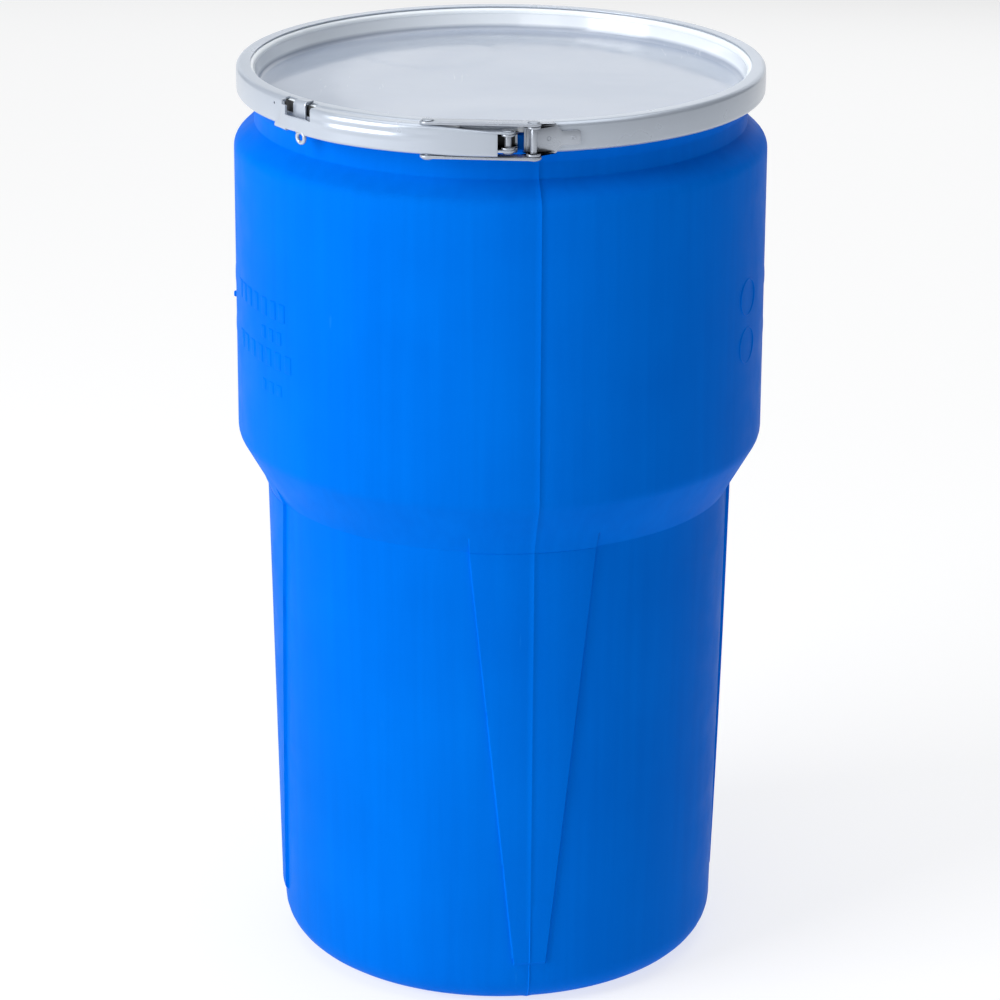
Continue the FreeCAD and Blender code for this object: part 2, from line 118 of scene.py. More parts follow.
def rounded(corners: Sequence[Corner], closed: bool = False, step: float = 14.0) -> list[Point2]:
    """Rounds the corners of an outline.

    Args:
        corners: first and second coordinate and fillet radius of each corner, in metres.
        closed: whether the last corner joins the first.
        step: largest turn between two points of an arc, in degrees.

    Returns:
        The outline's points, with an arc in place of each filleted corner.
    """
    points: list[Point2] = []
    count = len(corners)
    for i, (x, y, fillet) in enumerate(corners):
        at_end = not closed and i in (0, count - 1)
        if fillet <= 0.0 or at_end:
            points.append((x, y))
            continue
        here = Vector((x, y))
        back = (Vector(corners[i - 1][:2]) - here).normalized()
        ahead = (Vector(corners[(i + 1) % count][:2]) - here).normalized()
        half = back.angle(ahead) / 2.0
        middle = here + (back + ahead).normalized() * (fillet / math.sin(half))
        first = here + back * (fillet / math.tan(half)) - middle
        last = here + ahead * (fillet / math.tan(half)) - middle
        turn = first.angle_signed(last)
        pieces = max(2, math.ceil(abs(math.degrees(turn)) / step))
        for k in range(pieces + 1):
            angle = -turn * k / pieces
            cos, sin = math.cos(angle), math.sin(angle)
            points.append((middle.x + first.x * cos - first.y * sin, middle.y + first.x * sin + first.y * cos))
    return points


def arc(centre: Vector, radius: float, start: float, sweep: float, pieces: int) -> list[Point2]:
    """Points of a circular arc seen from above, with its start and sweep in radians."""
    angles = [start + sweep * k / pieces for k in range(pieces + 1)]
    return [(centre.x + radius * math.cos(angle), centre.y + radius * math.sin(angle)) for angle in angles]


def inset_profile(corners: Sequence[Corner], wall: float) -> list[Corner]:
    """Shifts an open outline to its left by a wall thickness.

    Args:
        corners: radius, height and fillet of each corner, in metres.
        wall: wall thickness, in metres.

    Returns:
        The corners of the inner outline, with fillets that keep the wall even.
    """
    inner: list[Corner] = []
    for i, (r, z, fillet) in enumerate(corners):
        here = Vector((r, z))
        sides = []
        if i > 0:
            sides.append((here - Vector(corners[i - 1][:2])).normalized())
        if i < len(corners) - 1:
            sides.append((Vector(corners[i + 1][:2]) - here).normalized())
        first, last = sides[0], sides[-1]
        move = Vector((-first.y - last.y, first.x + last.x)) * (wall / (1.0 + first.dot(last)))
        turn = first.x * last.y - first.y * last.x
        fitted = max(fillet - wall, 1.0 * MM) if turn > 0.0 else fillet + wall
        inner.append((r + move.x, z + move.y, fitted if fillet > 0.0 else 0.0))
    return inner


def split_runs(points: Sequence[Point2], longest: float) -> list[Point2]:
    """Adds points so that no straight run of an outline is longer than a given length."""
    out = [points[0]]
    for start, stop in zip(points, points[1:]):
        pieces = max(1, math.ceil(math.dist(start, stop) / longest))
        for k in range(1, pieces + 1):
            share = k / pieces
            out.append((start[0] + (stop[0] - start[0]) * share, start[1] + (stop[1] - start[1]) * share))
    return out


# ---------------------------------------------------------------- modelling bench
class Bench:
    """One piece under work, kept open in edit mode until it is finished."""

    def __init__(self, name: str, add: Callable[[], object]) -> None:
        """Adds the starting primitive and opens it.

        Args:
            name: the piece's name.
            add: adds one primitive at its size and place.
        """
        bpy.ops.object.select_all(action="DESELECT")
        add()
        self.piece = bpy.context.object
        self.piece.name = name
        self.piece.data.name = name
        bpy.ops.object.transform_apply(location=True, rotation=True, scale=True)
        bpy.ops.object.mode_set(mode="EDIT")
        bpy.ops.mesh.select_mode(type="VERT")

    @classmethod
    def outline(cls, name: str, points: Sequence[Vector], closed: bool) -> "Bench":
        """Draws a chain of edges by extruding one corner from point to point.

        Args:
            name: the piece's name.
            points: the chain's points, in metres.
            closed: whether the chain is closed and filled with a face.

        Returns:
            The bench with the whole chain selected.
        """
        bench = cls(name, lambda: bpy.ops.mesh.primitive_plane_add(size=0.01, location=points[0]))
        bpy.ops.mesh.select_all(action="SELECT")
        bpy.ops.mesh.merge(type="CENTER")
        for here, there in zip(points, points[1:]):
            bpy.ops.mesh.extrude_region_move(TRANSFORM_OT_translate={"value": tuple(there - here)})
        bpy.ops.mesh.select_all(action="SELECT")
        if closed:
            bpy.ops.mesh.edge_face_add()
        return bench

    @classmethod
    def turned(cls, name: str, profile: Sequence[Point2], span: Point2 = (-180.0, 180.0), steps: int = SPIN_STEPS,
               centre: Vector = Vector((0.0, 0.0, 0.0)), closed: bool = True) -> "Bench":
        """Spins a profile of radius and height about an upright axis.

        Args:
            name: the piece's name.
            profile: radius and height of each point, in metres.
            span: first and last azimuth, in degrees.
            steps: number of steps of the spin.
            centre: a point on the axis.
            closed: whether the profile is a closed section.

        Returns:
            The bench with the spun shape.
        """
        points = [centre + on_ring(r, span[0], z) for r, z in profile]
        whole = span[1] - span[0] > 359.9
        if closed and whole:
            points.append(points[0])
        bench = cls.outline(name, points, closed and not whole)
        turn = -math.radians(span[1] - span[0])
        bpy.ops.mesh.spin(steps=steps, angle=turn, center=tuple(centre), axis=(0, 0, 1))
        bench.tidy()
        return bench

    @classmethod
    def plate(cls, name: str, outline: Sequence[Point2], low: float, high: float) -> "Bench":
        """Cuts a flat plate to an outline seen from above, and gives it its thickness."""
        return cls.prism(name, [Vector((x, y, low)) for x, y in outline], Vector((0.0, 0.0, high - low)))

    @classmethod
    def prism(cls, name: str, points: Sequence[Vector], along: Vector) -> "Bench":
        """Fills a flat outline and draws it out into a solid."""
        bench = cls.outline(name, points, closed=True)
        bpy.ops.mesh.extrude_region_move(TRANSFORM_OT_translate={"value": tuple(along)})
        bench.tidy()
        return bench

    def tidy(self) -> None:
        """Closes seams and poles and turns all faces outwards."""
        bpy.ops.mesh.select_all(action="SELECT")
        bpy.ops.mesh.remove_doubles(threshold=1e-6)
        bpy.ops.mesh.normals_make_consistent(inside=False)

    def pick(self, test: Test, faces: bool = False) -> int:
        """Selects vertices, or faces by their middle, and nothing else.

        Args:
            test: says whether a place is wanted.
            faces: whether faces are picked instead of vertices.

        Returns:
            How many were picked.
        """
        bpy.ops.mesh.select_mode(type="FACE" if faces else "VERT")
        bpy.ops.mesh.select_all(action="DESELECT")
        mesh = bmesh.from_edit_mesh(self.piece.data)
        found = 0
        for item in mesh.faces if faces else mesh.verts:
            place = item.calc_center_median() if faces else item.co
            if test(place):
                item.select = True
                found += 1
        mesh.select_flush_mode()
        bmesh.update_edit_mesh(self.piece.data)
        return found

    def cut(self, place: Vector, normal: Vector) -> None:
        """Bisects what is selected."""
        bpy.ops.mesh.bisect(plane_co=tuple(place), plane_no=tuple(normal))

    def scale(self, value: Sequence[float], centre: Vector = Vector((0.0, 0.0, 0.0))) -> None:
        """Scales what is selected about a point."""
        bpy.ops.transform.resize(value=tuple(value), center_override=tuple(centre))

    def drop_faces(self, test: Test) -> None:
        """Deletes the faces whose middle passes a test."""
        if self.pick(test, faces=True):
            bpy.ops.mesh.delete(type="FACE")

    def close(self) -> Piece:
        """Leaves edit mode and hands over the piece."""
        bpy.ops.object.mode_set(mode="OBJECT")
        return self.piece


def only(piece: Piece) -> None:
    """Makes one piece the selected and active one."""
    bpy.ops.object.select_all(action="DESELECT")
    piece.select_set(True)
    bpy.context.view_layer.objects.active = piece


def alter(piece: Piece, kind: str, **settings: object) -> None:
    """Applies one modifier to a piece."""
    only(piece)
    step = piece.modifiers.new(kind.lower(), kind)
    for key, value in settings.items():
        setattr(step, key, value)
    bpy.ops.object.modifier_apply(modifier=step.name)


def swell(piece: Piece, weight: Weight, height: float, along: Vector | None = None) -> None:
    """Raises part of a surface.

    Args:
        piece: the piece.
        weight: share of the height at a place on the piece, from 0 to 1.
        height: how far the surface moves where the share is 1.
        along: direction of the move, or None for the surface's own normal.
    """
    group = piece.vertex_groups.new(name="rise")
    for vertex in piece.data.vertices:
        share = weight(vertex.co)
        if share > 0.0:
            group.add([vertex.index], share, "REPLACE")
    moves = [("NORMAL", height)] if along is None else [("X", height * along.x), ("Y", height * along.y)]
    for direction, strength in moves:
        alter(piece, "DISPLACE", direction=direction, strength=strength, mid_level=0.0, vertex_group=group.name)
    piece.vertex_groups.clear()


def thicken(piece: Piece, thickness: float, outwards: bool = False) -> None:
    """Gives a sheet its thickness, inwards unless told otherwise."""
    alter(piece, "SOLIDIFY", thickness=thickness, offset=1.0 if outwards else -1.0, use_even_offset=True)


def soften(piece: Piece, width: float, angle: float = 32.0, segments: int = 2) -> Piece:
    """Rounds the sharp edges of a piece and smooths its shading.

    Args:
        piece: the piece.
        width: width of the rounding, in metres.
        angle: smallest turn that counts as an edge, in degrees.
        segments: faces across the rounding.

    Returns:
        The same piece.
    """
    only(piece)
    turn = math.radians(angle)
    if width > 0.0:
        alter(piece, "BEVEL", width=width, segments=segments, limit_method="ANGLE", angle_limit=turn)
    bpy.ops.object.shade_smooth_by_angle(angle=turn)
    return piece


def carve(piece: Piece, cutters: Sequence[Piece]) -> None:
    """Cuts the shapes of some solids out of a piece and removes them."""
    for cutter in cutters:
        alter(piece, "BOOLEAN", operation="DIFFERENCE", solver="EXACT", object=cutter)
        bpy.data.objects.remove(cutter)


def circlet(name: str, place: Vector, radius: float, bead: float, faces: tuple[int, int]) -> Piece:
    """A round bead bent into a circle, standing flat against the wall behind its place."""
    turn = (math.radians(90.0), 0.0, math.radians(azimuth_of(place)))
    bench = Bench(name, lambda: bpy.ops.mesh.primitive_torus_add(
        location=place, rotation=turn, major_radius=radius, minor_radius=bead,
        major_segments=faces[0], minor_segments=faces[1]))
    return soften(bench.close(), 0.0, 60.0)


def joined(name: str, parts: Sequence[Piece]) -> Piece:
    """Joins several solids into one piece with a given name."""
    bpy.ops.object.select_all(action="DESELECT")
    for part in parts:
        part.select_set(True)
    bpy.context.view_layer.objects.active = parts[0]
    if len(parts) > 1:
        bpy.ops.object.join()
    parts[0].name = name
    parts[0].data.name = name
    return parts[0]


# ---------------------------------------------------------------- finishes
class Recipe:
    """Node material built up from patterns in object coordinates."""

    def __init__(self, name: str, roughness: float, metallic: float = 0.0) -> None:
        """Starts a material with one surface shader."""
        self.material = bpy.data.materials.new(name)
        self.material.use_nodes = True
        self.nodes = self.material.node_tree.nodes
        self.links = self.material.node_tree.links
        self.shader = self.nodes["Principled BSDF"]
        self.preset({"Roughness": roughness, "Metallic": metallic})
        self.coords = self.nodes.new("ShaderNodeTexCoord")
        self.relief: Socket | None = None

    def noise(self, scale: float, detail: float = 2.0, stretch: Sequence[float] = (1.0, 1.0, 1.0),
              distortion: float = 0.0) -> Socket:
        """Adds a noise pattern.

        Args:
            scale: features per metre.
            detail: octaves of finer noise.
            stretch: scale of each axis before the noise.
            distortion: how much the pattern is bent.

        Returns:
            The pattern's value socket.
        """
        mapping = self.nodes.new("ShaderNodeMapping")
        mapping.inputs["Scale"].default_value = stretch
        self.links.new(self.coords.outputs["Object"], mapping.inputs["Vector"])
        pattern = self.nodes.new("ShaderNodeTexNoise")
        pattern.inputs["Scale"].default_value = scale
        pattern.inputs["Detail"].default_value = detail
        pattern.inputs["Distortion"].default_value = distortion
        self.links.new(mapping.outputs["Vector"], pattern.inputs["Vector"])
        return pattern.outputs["Fac"]

    def height(self) -> Socket:
        """Height above the floor, in metres."""
        split = self.nodes.new("ShaderNodeSeparateXYZ")
        self.links.new(self.coords.outputs["Object"], split.inputs["Vector"])
        return split.outputs["Z"]

    def remap(self, source: Socket, start: float, stop: float, low: float = 0.0,
              high: float = 1.0) -> Socket:
        """Maps a range of a value onto another range, clamped at both ends."""
        node = self.nodes.new("ShaderNodeMapRange")
        for socket, value in zip(list(node.inputs)[1:5], (start, stop, low, high)):
            socket.default_value = value
        self.links.new(source, node.inputs["Value"])
        return node.outputs["Result"]

    def combine(self, first: Socket, second: Socket,
                operation: str = "MULTIPLY") -> Socket:
        """Combines two values with one arithmetic operation."""
        node = self.nodes.new("ShaderNodeMath")
        node.operation = operation
        self.links.new(first, node.inputs[0])
        self.links.new(second, node.inputs[1])
        return node.outputs["Value"]

    def blend(self, factor: Socket, first: object,
              second: Sequence[float]) -> Socket:
        """Mixes two colours by a pattern.

        Args:
            factor: share of the second colour.
            first: a colour, or a socket that carries one.
            second: the other colour.

        Returns:
            The mixed colour's socket.
        """
        node = self.nodes.new("ShaderNodeMix")
        node.data_type = "RGBA"
        self.links.new(factor, node.inputs["Factor"])
        if isinstance(first, Socket):
            self.links.new(first, node.inputs[6])
        else:
            node.inputs[6].default_value = (*first, 1.0)
        node.inputs[7].default_value = (*second, 1.0)
        return node.outputs[2]

    def bump(self, source: Socket, depth: float, strength: float = 1.0) -> None:
        """Adds a relief of a given depth on top of the earlier ones."""
        node = self.nodes.new("ShaderNodeBump")
        node.inputs["Distance"].default_value = depth
        node.inputs["Strength"].default_value = strength
        self.links.new(source, node.inputs["Height"])
        if self.relief is not None:
            self.links.new(self.relief, node.inputs["Normal"])
        self.relief = node.outputs["Normal"]
        self.links.new(self.relief, self.shader.inputs["Normal"])

    def preset(self, values: dict[str, object]) -> None:
        """Gives some of the shader's inputs a fixed value."""
        for socket, value in values.items():
            self.shader.inputs[socket].default_value = value

    def feed(self, socket: str, source: Socket) -> None:
        """Drives one of the shader's inputs by a pattern."""
        self.links.new(source, self.shader.inputs[socket])


@dataclass(frozen=True)
class SatinBluePolyethylene:
    """Blow-moulded wall: satin skin, faint flow streaks, fine grain and light scuffs."""

    deep: Corner = (0.0, 0.140, 0.690)
    clear: Corner = (0.0, 0.162, 0.760)
    scuff: Corner = (0.010, 0.215, 0.800)
    roughness: Point2 = (0.36, 0.50)
    grain: float = 900.0
    grain_depth: float = 0.05 * MM
    wave_depth: float = 0.9 * MM

    def build(self) -> bpy.types.Material:
        """Mixes the finish."""
        made = Recipe("satin_blue_polyethylene", self.roughness[0])
        cloud = made.noise(9.0, 3.0)
        streak = made.noise(130.0, 4.0, (1.0, 1.0, 0.035))
        clouded = made.remap(cloud, 0.35, 0.65, 0.0, 0.6)
        tone = made.combine(clouded, made.remap(streak, 0.35, 0.7, 0.0, 0.4), "ADD")
        colour = made.blend(tone, self.deep, self.clear)
        scratches = made.remap(made.noise(260.0, 3.0, (1.0, 1.0, 0.10), 0.6), 0.69, 0.76)
        patches = made.remap(made.noise(14.0, 3.0), 0.52, 0.68)
        foot = made.remap(made.height(), 0.030, 0.004, 0.35, 1.0)
        marks = made.combine(made.combine(scratches, patches), foot)
        made.feed("Base Color", made.blend(marks, colour, self.scuff))
        made.feed("Roughness", made.remap(made.noise(45.0, 4.0), 0.3, 0.7, *self.roughness))
        made.preset({"IOR": 1.3, "Specular IOR Level": 0.02, "Specular Tint": (0.02, 0.55, 1.0, 1.0)})
        made.bump(made.noise(16.0, 1.0), self.wave_depth, 0.5)
        made.bump(made.noise(self.grain, 2.0), self.grain_depth, 0.55)
        return made.material


@dataclass(frozen=True)
class GlossyPaleLid:
    """Injection-moulded lid: glossy and pale, with its floor painted much greyer than its wall, as painted shade
    on the floor and painted light on the wall.
    """

    floor_z: float
    pale: Corner = (0.870, 0.925, 0.985)
    # Floor colours: the wall's plastic darkened as painted shade, with a random mottle.
    shaded_floor: Corner = (0.365, 0.420, 0.520)
    shaded_floor_mottle: Corner = (0.405, 0.455, 0.550)
    rubbed: Corner = (0.64, 0.68, 0.75)
    roughness: Point2 = (0.06, 0.15)
    wave_depth: float = 1.2 * MM

    def build(self) -> bpy.types.Material:
        """Mixes the finish."""
        made = Recipe("glossy_pale_lid", self.roughness[0])
        cloud = made.remap(made.noise(8.0, 3.0, distortion=0.5), 0.35, 0.65)
        floor = made.blend(cloud, self.shaded_floor, self.shaded_floor_mottle)
        rubs = made.combine(made.remap(made.noise(190.0, 3.0, (1.0, 0.12, 1.0), 1.2), 0.66, 0.76, 0.0, 0.6),
                            made.remap(made.noise(11.0, 2.0), 0.5, 0.7))
        floor = made.blend(rubs, floor, self.rubbed)
        # Pale from just above the floor up: painted light on the wall against the painted shade of the floor.
        wall = made.remap(made.height(), self.floor_z + 2.1 * MM, self.floor_z + 5.0 * MM)
        made.feed("Base Color", made.blend(wall, floor, self.pale))
        made.feed("Roughness", made.remap(made.noise(30.0, 4.0), 0.3, 0.7, *self.roughness))
        made.preset({"IOR": 1.52, "Subsurface Weight": 0.08, "Subsurface Radius": (0.006, 0.007, 0.009),
                     "Subsurface Scale": 1.0})
        made.bump(made.noise(13.0, 2.0, distortion=0.4), self.wave_depth, 0.35)
        made.bump(made.noise(700.0, 2.0), 0.03 * MM, 0.3)
        return made.material


@dataclass(frozen=True)
class PlatedSteel:
    """Sheet steel with a pale, smooth coat and soft mottling."""

    name: str
    colour: Corner
    dark: Corner
    metallic: float
    roughness: Point2
    coat: float = 0.0

    def build(self) -> bpy.types.Material:
        """Mixes the finish."""
        made = Recipe(self.name, self.roughness[0], self.metallic)
        mottle = made.remap(made.noise(18.0, 3.0), 0.3, 0.75)
        made.feed("Base Color", made.blend(mottle, self.colour, self.dark))
        made.feed("Roughness", made.remap(made.noise(26.0, 3.0), 0.3, 0.7, *self.roughness))
        made.preset({"Coat Weight": self.coat, "Coat Roughness": 0.18})
        made.bump(made.noise(14.0, 0.0), 0.3 * MM, 0.2)
        return made.material


@dataclass(frozen=True)
class SealRubber:
    """Dark matt rubber with a dusty bloom."""

    colour: Corner = (0.018, 0.018, 0.019)
    bloom: Corner = (0.065, 0.065, 0.068)

    def build(self) -> bpy.types.Material:
        """Mixes the finish."""
        made = Recipe("seal_rubber", 0.75)
        dust = made.remap(made.noise(60.0, 4.0), 0.45, 0.75)
        made.feed("Base Color", made.blend(dust, self.colour, self.bloom))
        made.bump(made.noise(900.0, 2.0), 0.08 * MM, 0.6)
        return made.material


class Finish(Enum):
    """The finishes of the drum, by the slot name that each stands for."""

    BODY = "body_plastic"
    LID = "lid_plastic"
    SEAL = "gasket_rubber"
    RING = "ring_steel"
    LOCK = "lock_steel"
    # Near-black steel used as painted shade in the lock's recesses.
    RECESS = "lock_steel, painted near black as shade"


class Workshop:
    """Mixes each finish once and hands finished pieces to the frame."""

    def __init__(self, lid_floor: float) -> None:
        """Builds every finish, for a lid whose floor is at a given height."""
        ring = PlatedSteel(
            "pale_ring_enamel", colour=(0.47, 0.52, 0.60), dark=(0.435, 0.485, 0.56), metallic=0.35,
            roughness=(0.27, 0.31), coat=0.30)
        lock = PlatedSteel(
            "zinc_plated_lock", colour=(0.46, 0.50, 0.56), dark=(0.38, 0.41, 0.47), metallic=0.60,
            roughness=(0.22, 0.30))
        # Near-black steel as painted shade: it darkens the fulcrum web and the leaf behind the slots where the
        # lock lies in shade.
        recess = PlatedSteel(
            "painted_shade_steel", colour=(0.035, 0.037, 0.040), dark=(0.020, 0.021, 0.023), metallic=0.4,
            roughness=(0.5, 0.7))
        self.finishes = {
            Finish.BODY: SatinBluePolyethylene().build(),
            Finish.LID: GlossyPaleLid(lid_floor).build(),
            Finish.SEAL: SealRubber().build(),
            Finish.RING: ring.build(),
            Finish.LOCK: lock.build(),
            Finish.RECESS: recess.build(),
        }

    def dress(self, piece: Piece, finish: Finish, *nodes: str) -> None:
        """Gives a piece its finish unless it already has materials, and hides the frame nodes that it stands for.
        """
        if not piece.data.materials:
            piece.data.materials.append(self.finishes[finish])
        if nodes:
            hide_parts(*nodes)
        LOG.info("%s: %d faces, %s", piece.name, len(piece.data.polygons), finish.value)

    def fit(self, piece: Piece, finish: Finish, body: str, *nodes: str) -> None:
        """Dresses a piece and sets it on one body."""
        self.dress(piece, finish, *nodes)
        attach(piece, body)


# ---------------------------------------------------------------- places from the frame
@dataclass(frozen=True)
class Layout:
    """Places that several pieces share, in metres."""

    ring_low: float
    ring_high: float
    ring_radius: float
    fulcrum: Vector
    lever_pin: Vector
    catch_pin: Vector
    hinge_y: float

    @classmethod
    def from_frame(cls) -> "Layout":
        """Reads the places from the frame's nodes."""
        low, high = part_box("ring_band_left")
        boxes = [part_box(node) for node in ("fulcrum_pin", "lever_rivet", "catch_pin")]
        pins = [(pin_low + pin_high) / 2.0 for pin_low, pin_high in boxes]
        return cls(low.z, high.z, -low.x, *pins, high.y)

    @property
    def middle(self) -> float:
        """Height of the ring's middle plane."""
        return (self.ring_low + self.ring_high) / 2.0


# ---------------------------------------------------------------- drum body
@dataclass
class DrumBody:
    """Stepped, blow-moulded body with nesting wedges and blank moulding marks."""

    place: Layout
    foot: float = 163.3 * MM
    step: float = 170.3 * MM
    hip: float = 193.75 * MM
    shoulder: float = 193.3 * MM
    neck: float = 178.4 * MM
    collar: float = 182.8 * MM
    flange: float = 187.4 * MM
    land: float = 184.7 * MM
    mouth: float = 178.0 * MM
    wall: float = 4.5 * MM
    step_z: float = 362.0 * MM
    hip_z: float = 403.0 * MM
    shoulder_drop: float = 56.0 * MM
    neck_drop: float = 42.0 * MM
    push_up: float = 5.0 * MM
    foot_round: float = 26.0 * MM
    parting: float = 8.4
    wedge_rise: float = 2.1 * MM
    wedge_foot: float = 12.4 * MM
    wedge_top: float = 46.1 * MM
    wedge_foot_z: float = 35.0 * MM
    wedge_edge: float = 1.2 * MM
    bead_rise: float = 0.8 * MM
    bead_half: float = 0.8 * MM
    mark_root: float = 1.2 * MM
    mark_rise: float = 0.7 * MM
    bar_rows: tuple[tuple[Point2, float, tuple[float, ...]], ...] = (
        ((2.0, 15.5), 2.3, (-76.0, -72.6, -69.0, -65.2, -61.2, -57.4, -54.0)),
        ((-15.5, -6.0), 1.9, (-61.5, -58.2, -55.0)),
        ((-34.5, -21.5), 2.4, (-75.0, -71.4, -67.4, -63.4, -59.6, -55.8, -52.0)),
        ((-54.0, -45.5), 1.9, (-61.5, -58.2, -55.0)),
    )
    roundels: tuple[Point2, ...] = (
        (66.4, 11.0), (66.4, -25.0), (94.0, 4.5), (94.0, -33.5), (-94.0, 4.5), (-94.0, -33.5),
    )

    @property
    def shoulder_z(self) -> float:
        """Height of the shoulder's corner."""
        return self.place.ring_high - self.shoulder_drop

    @property
    def marks_z(self) -> float:
        """Height of the upper wall's middle, where the moulded marks are set out from."""
        return (self.hip_z + self.place.ring_high - self.shoulder_drop) / 2.0

    def profile(self) -> list[Point2]:
        """Section of the shell from the axis under the base, up the outside and down the inside."""
        low = self.place.ring_low
        outside = [
            (0.0, self.push_up, 0.0),
            (112.0 * MM, self.push_up, 6.0 * MM),
            (123.0 * MM, 0.0, 6.0 * MM),
            (self.foot, 0.0, self.foot_round),
            (self.step, self.step_z, 1.6 * MM),
            (self.hip, self.hip_z, 17.0 * MM),
            (self.shoulder, self.shoulder_z, 12.0 * MM),
            (self.neck, self.place.ring_high - self.neck_drop, 1.5 * MM),
            (self.neck, low - 9.0 * MM, 5.0 * MM),
            (self.collar, low - 0.6 * MM, 1.0 * MM),
        ]
        inside = inset_profile(outside, self.wall)[:-1]
        inside[-1] = (inside[-1][0], low - 2.2 * MM, 0.0)
        rim = [
            (self.collar, low + 1.5 * MM, 0.0),
            (self.flange, low + 1.5 * MM, 1.0 * MM),
            (self.flange, low + 12.4 * MM, 1.0 * MM),
            (self.land, low + 12.4 * MM, 0.3 * MM),
            (self.land, low + 13.7 * MM, 1.0 * MM),
            (self.mouth, low + 13.7 * MM, 1.0 * MM),
            (self.mouth, low - 0.2 * MM, 0.0),
        ]
        return split_runs(rounded(outside + rim + inside[::-1], step=10.0), 16.0 * MM)

    def wedge_share(self, point: Vector) -> float:
        """Share of the wedge's rise at a point of the wall."""
        radius = radius_of(point)
        on_wall = radius > self.foot - 2.0 * MM and point.z < self.step_z + 6.0 * MM
        if not on_wall or point.z < self.wedge_foot_z:
            return 0.0
        turn = (azimuth_of(point) - self.parting + 45.0) % 90.0 - 45.0
        across = abs(radius * math.sin(math.radians(turn)))
        if across > self.half_width(point.z) - self.wedge_edge + 0.01 * MM:
            return 0.0
        crown = self.step + self.wedge_rise
        share = min((crown - radius) / self.wedge_rise, 1.0)
        return share * ease(point.z, self.wedge_foot_z, self.wedge_foot_z + 3.0 * MM)

    def half_width(self, height: float) -> float:
        """Half width of a wedge at a height."""
        climb = (height - self.wedge_foot_z) / (self.step_z - self.wedge_foot_z)
        return self.wedge_foot + (self.wedge_top - self.wedge_foot) * climb

    def score_wedges(self, bench: Bench) -> None:
        """Cuts the wedges' outlines into the lower wall, outside and at the foot of each slope."""
        lean = (self.wedge_top - self.wedge_foot) / (self.step_z - self.wedge_foot_z)
        for quarter in range(4):
            azimuth = self.parting + 90.0 * quarter
            side = on_ring(1.0, azimuth + 90.0, 0.0)
            for sign in (-1.0, 1.0):
                for edge in (0.0, self.wedge_edge):
                    corner = side * sign * (self.wedge_foot - edge) + Vector((0.0, 0.0, self.wedge_foot_z))
                    normal = (side * sign - Vector((0.0, 0.0, lean))).normalized()
                    bench.pick(lambda c: self.near_wedge(c, azimuth), faces=True)
                    bench.cut(corner, normal)
        for rise in (0.0, 0.8 * MM, 3.0 * MM):
            bench.pick(self.near_wedge_foot, faces=True)
            bench.cut(Vector((0.0, 0.0, self.wedge_foot_z + rise)), Vector((0.0, 0.0, 1.0)))

    def near_wedge_foot(self, point: Vector) -> bool:
        """Whether a face of the outer lower wall is near the height where the wedges end."""
        return abs(point.z - self.wedge_foot_z) < 30.0 * MM and radius_of(point) > self.foot - 2.0 * MM

    def near_wedge(self, point: Vector, azimuth: float) -> bool:
        """Whether a face of the outer lower wall is near the wedge at an azimuth."""
        outer = radius_of(point) > self.foot - 2.0 * MM and point.z < self.step_z + 8.0 * MM
        return abs(turn_from(point, azimuth)) < 20.0 and outer and point.z > self.wedge_foot_z - 16.0 * MM

    def score_parting(self, bench: Bench) -> None:
        """Cuts three fine lines down the front and back for the parting bead."""
        for azimuth in (self.parting, self.parting + 180.0):
            side = on_ring(1.0, azimuth + 90.0, 0.0)
            for shift in (-self.bead_half, 0.0, self.bead_half):
                bench.pick(lambda c: self.near_parting(c, azimuth), faces=True)
                bench.cut(side * shift, side)

    def near_parting(self, point: Vector, azimuth: float) -> bool:
        """Whether a face lies on the outside close to the parting line."""
        outer = radius_of(point) > 0.155 and self.outside(point)
        return abs(turn_from(point, azimuth)) < 2.6 and outer and point.z < self.place.ring_low - 2.0 * MM

    def outside(self, point: Vector) -> bool:
        """Whether a point lies on the outer skin, not on the inner one."""
        radius = radius_of(point)
        if point.z < self.step_z:
            wall = self.foot + (self.step - self.foot) * point.z / self.step_z
            return radius > wall - 2.0 * MM or point.z < self.foot_round
        if point.z < self.hip_z:
            climb = (point.z - self.step_z) / (self.hip_z - self.step_z)
            return radius > self.step + (self.hip - self.step) * climb - 3.0 * MM
        if point.z < self.shoulder_z:
            return radius > self.shoulder - 2.6 * MM
        return radius > self.neck - 2.0 * MM

    def bead_share(self, point: Vector) -> float:
        """Share of the parting bead's height at a point."""
        for azimuth in (self.parting, self.parting + 180.0):
            side = on_ring(1.0, azimuth + 90.0, 0.0)
            front = on_ring(1.0, azimuth, 0.0)
            flat = Vector((point.x, point.y, 0.0))
            inside = not self.outside(point) or point.z > self.place.ring_low - 2.0 * MM
            if abs(flat.dot(side)) < 0.3 * MM and flat.dot(front) > 0.15 and not inside:
                ragged = 0.5 + 0.5 * noise.noise(Vector((0.0, 0.0, point.z)) * 160.0)
                return 0.45 + 0.55 * ragged * ease(point.z, 0.085, 0.050)
        return 0.0

    def marks(self) -> list[Piece]:
        """Blank raised dashes and roundels in place of the moulded marks."""
        middle = self.marks_z
        root, crest = self.shoulder - self.mark_root, self.shoulder + self.mark_rise
        made = []
        for (low, high), width, starts in self.bar_rows:
            foot, head = middle + low * MM, middle + high * MM
            for start in starts:
                section = [(root, foot), (crest, foot), (crest, head), (root, head)]
                bar = Bench.turned("bar", section, (start, start + width), 3).close()
                made.append(soften(bar, 0.75 * MM, 40.0, 3))
        for azimuth, height in self.roundels:
            place = on_ring(self.shoulder - 0.40 * MM, azimuth, middle + height * MM)
            made.append(circlet("roundel", place, 13.2 * MM, 1.0 * MM, (48, 10)))
        return made

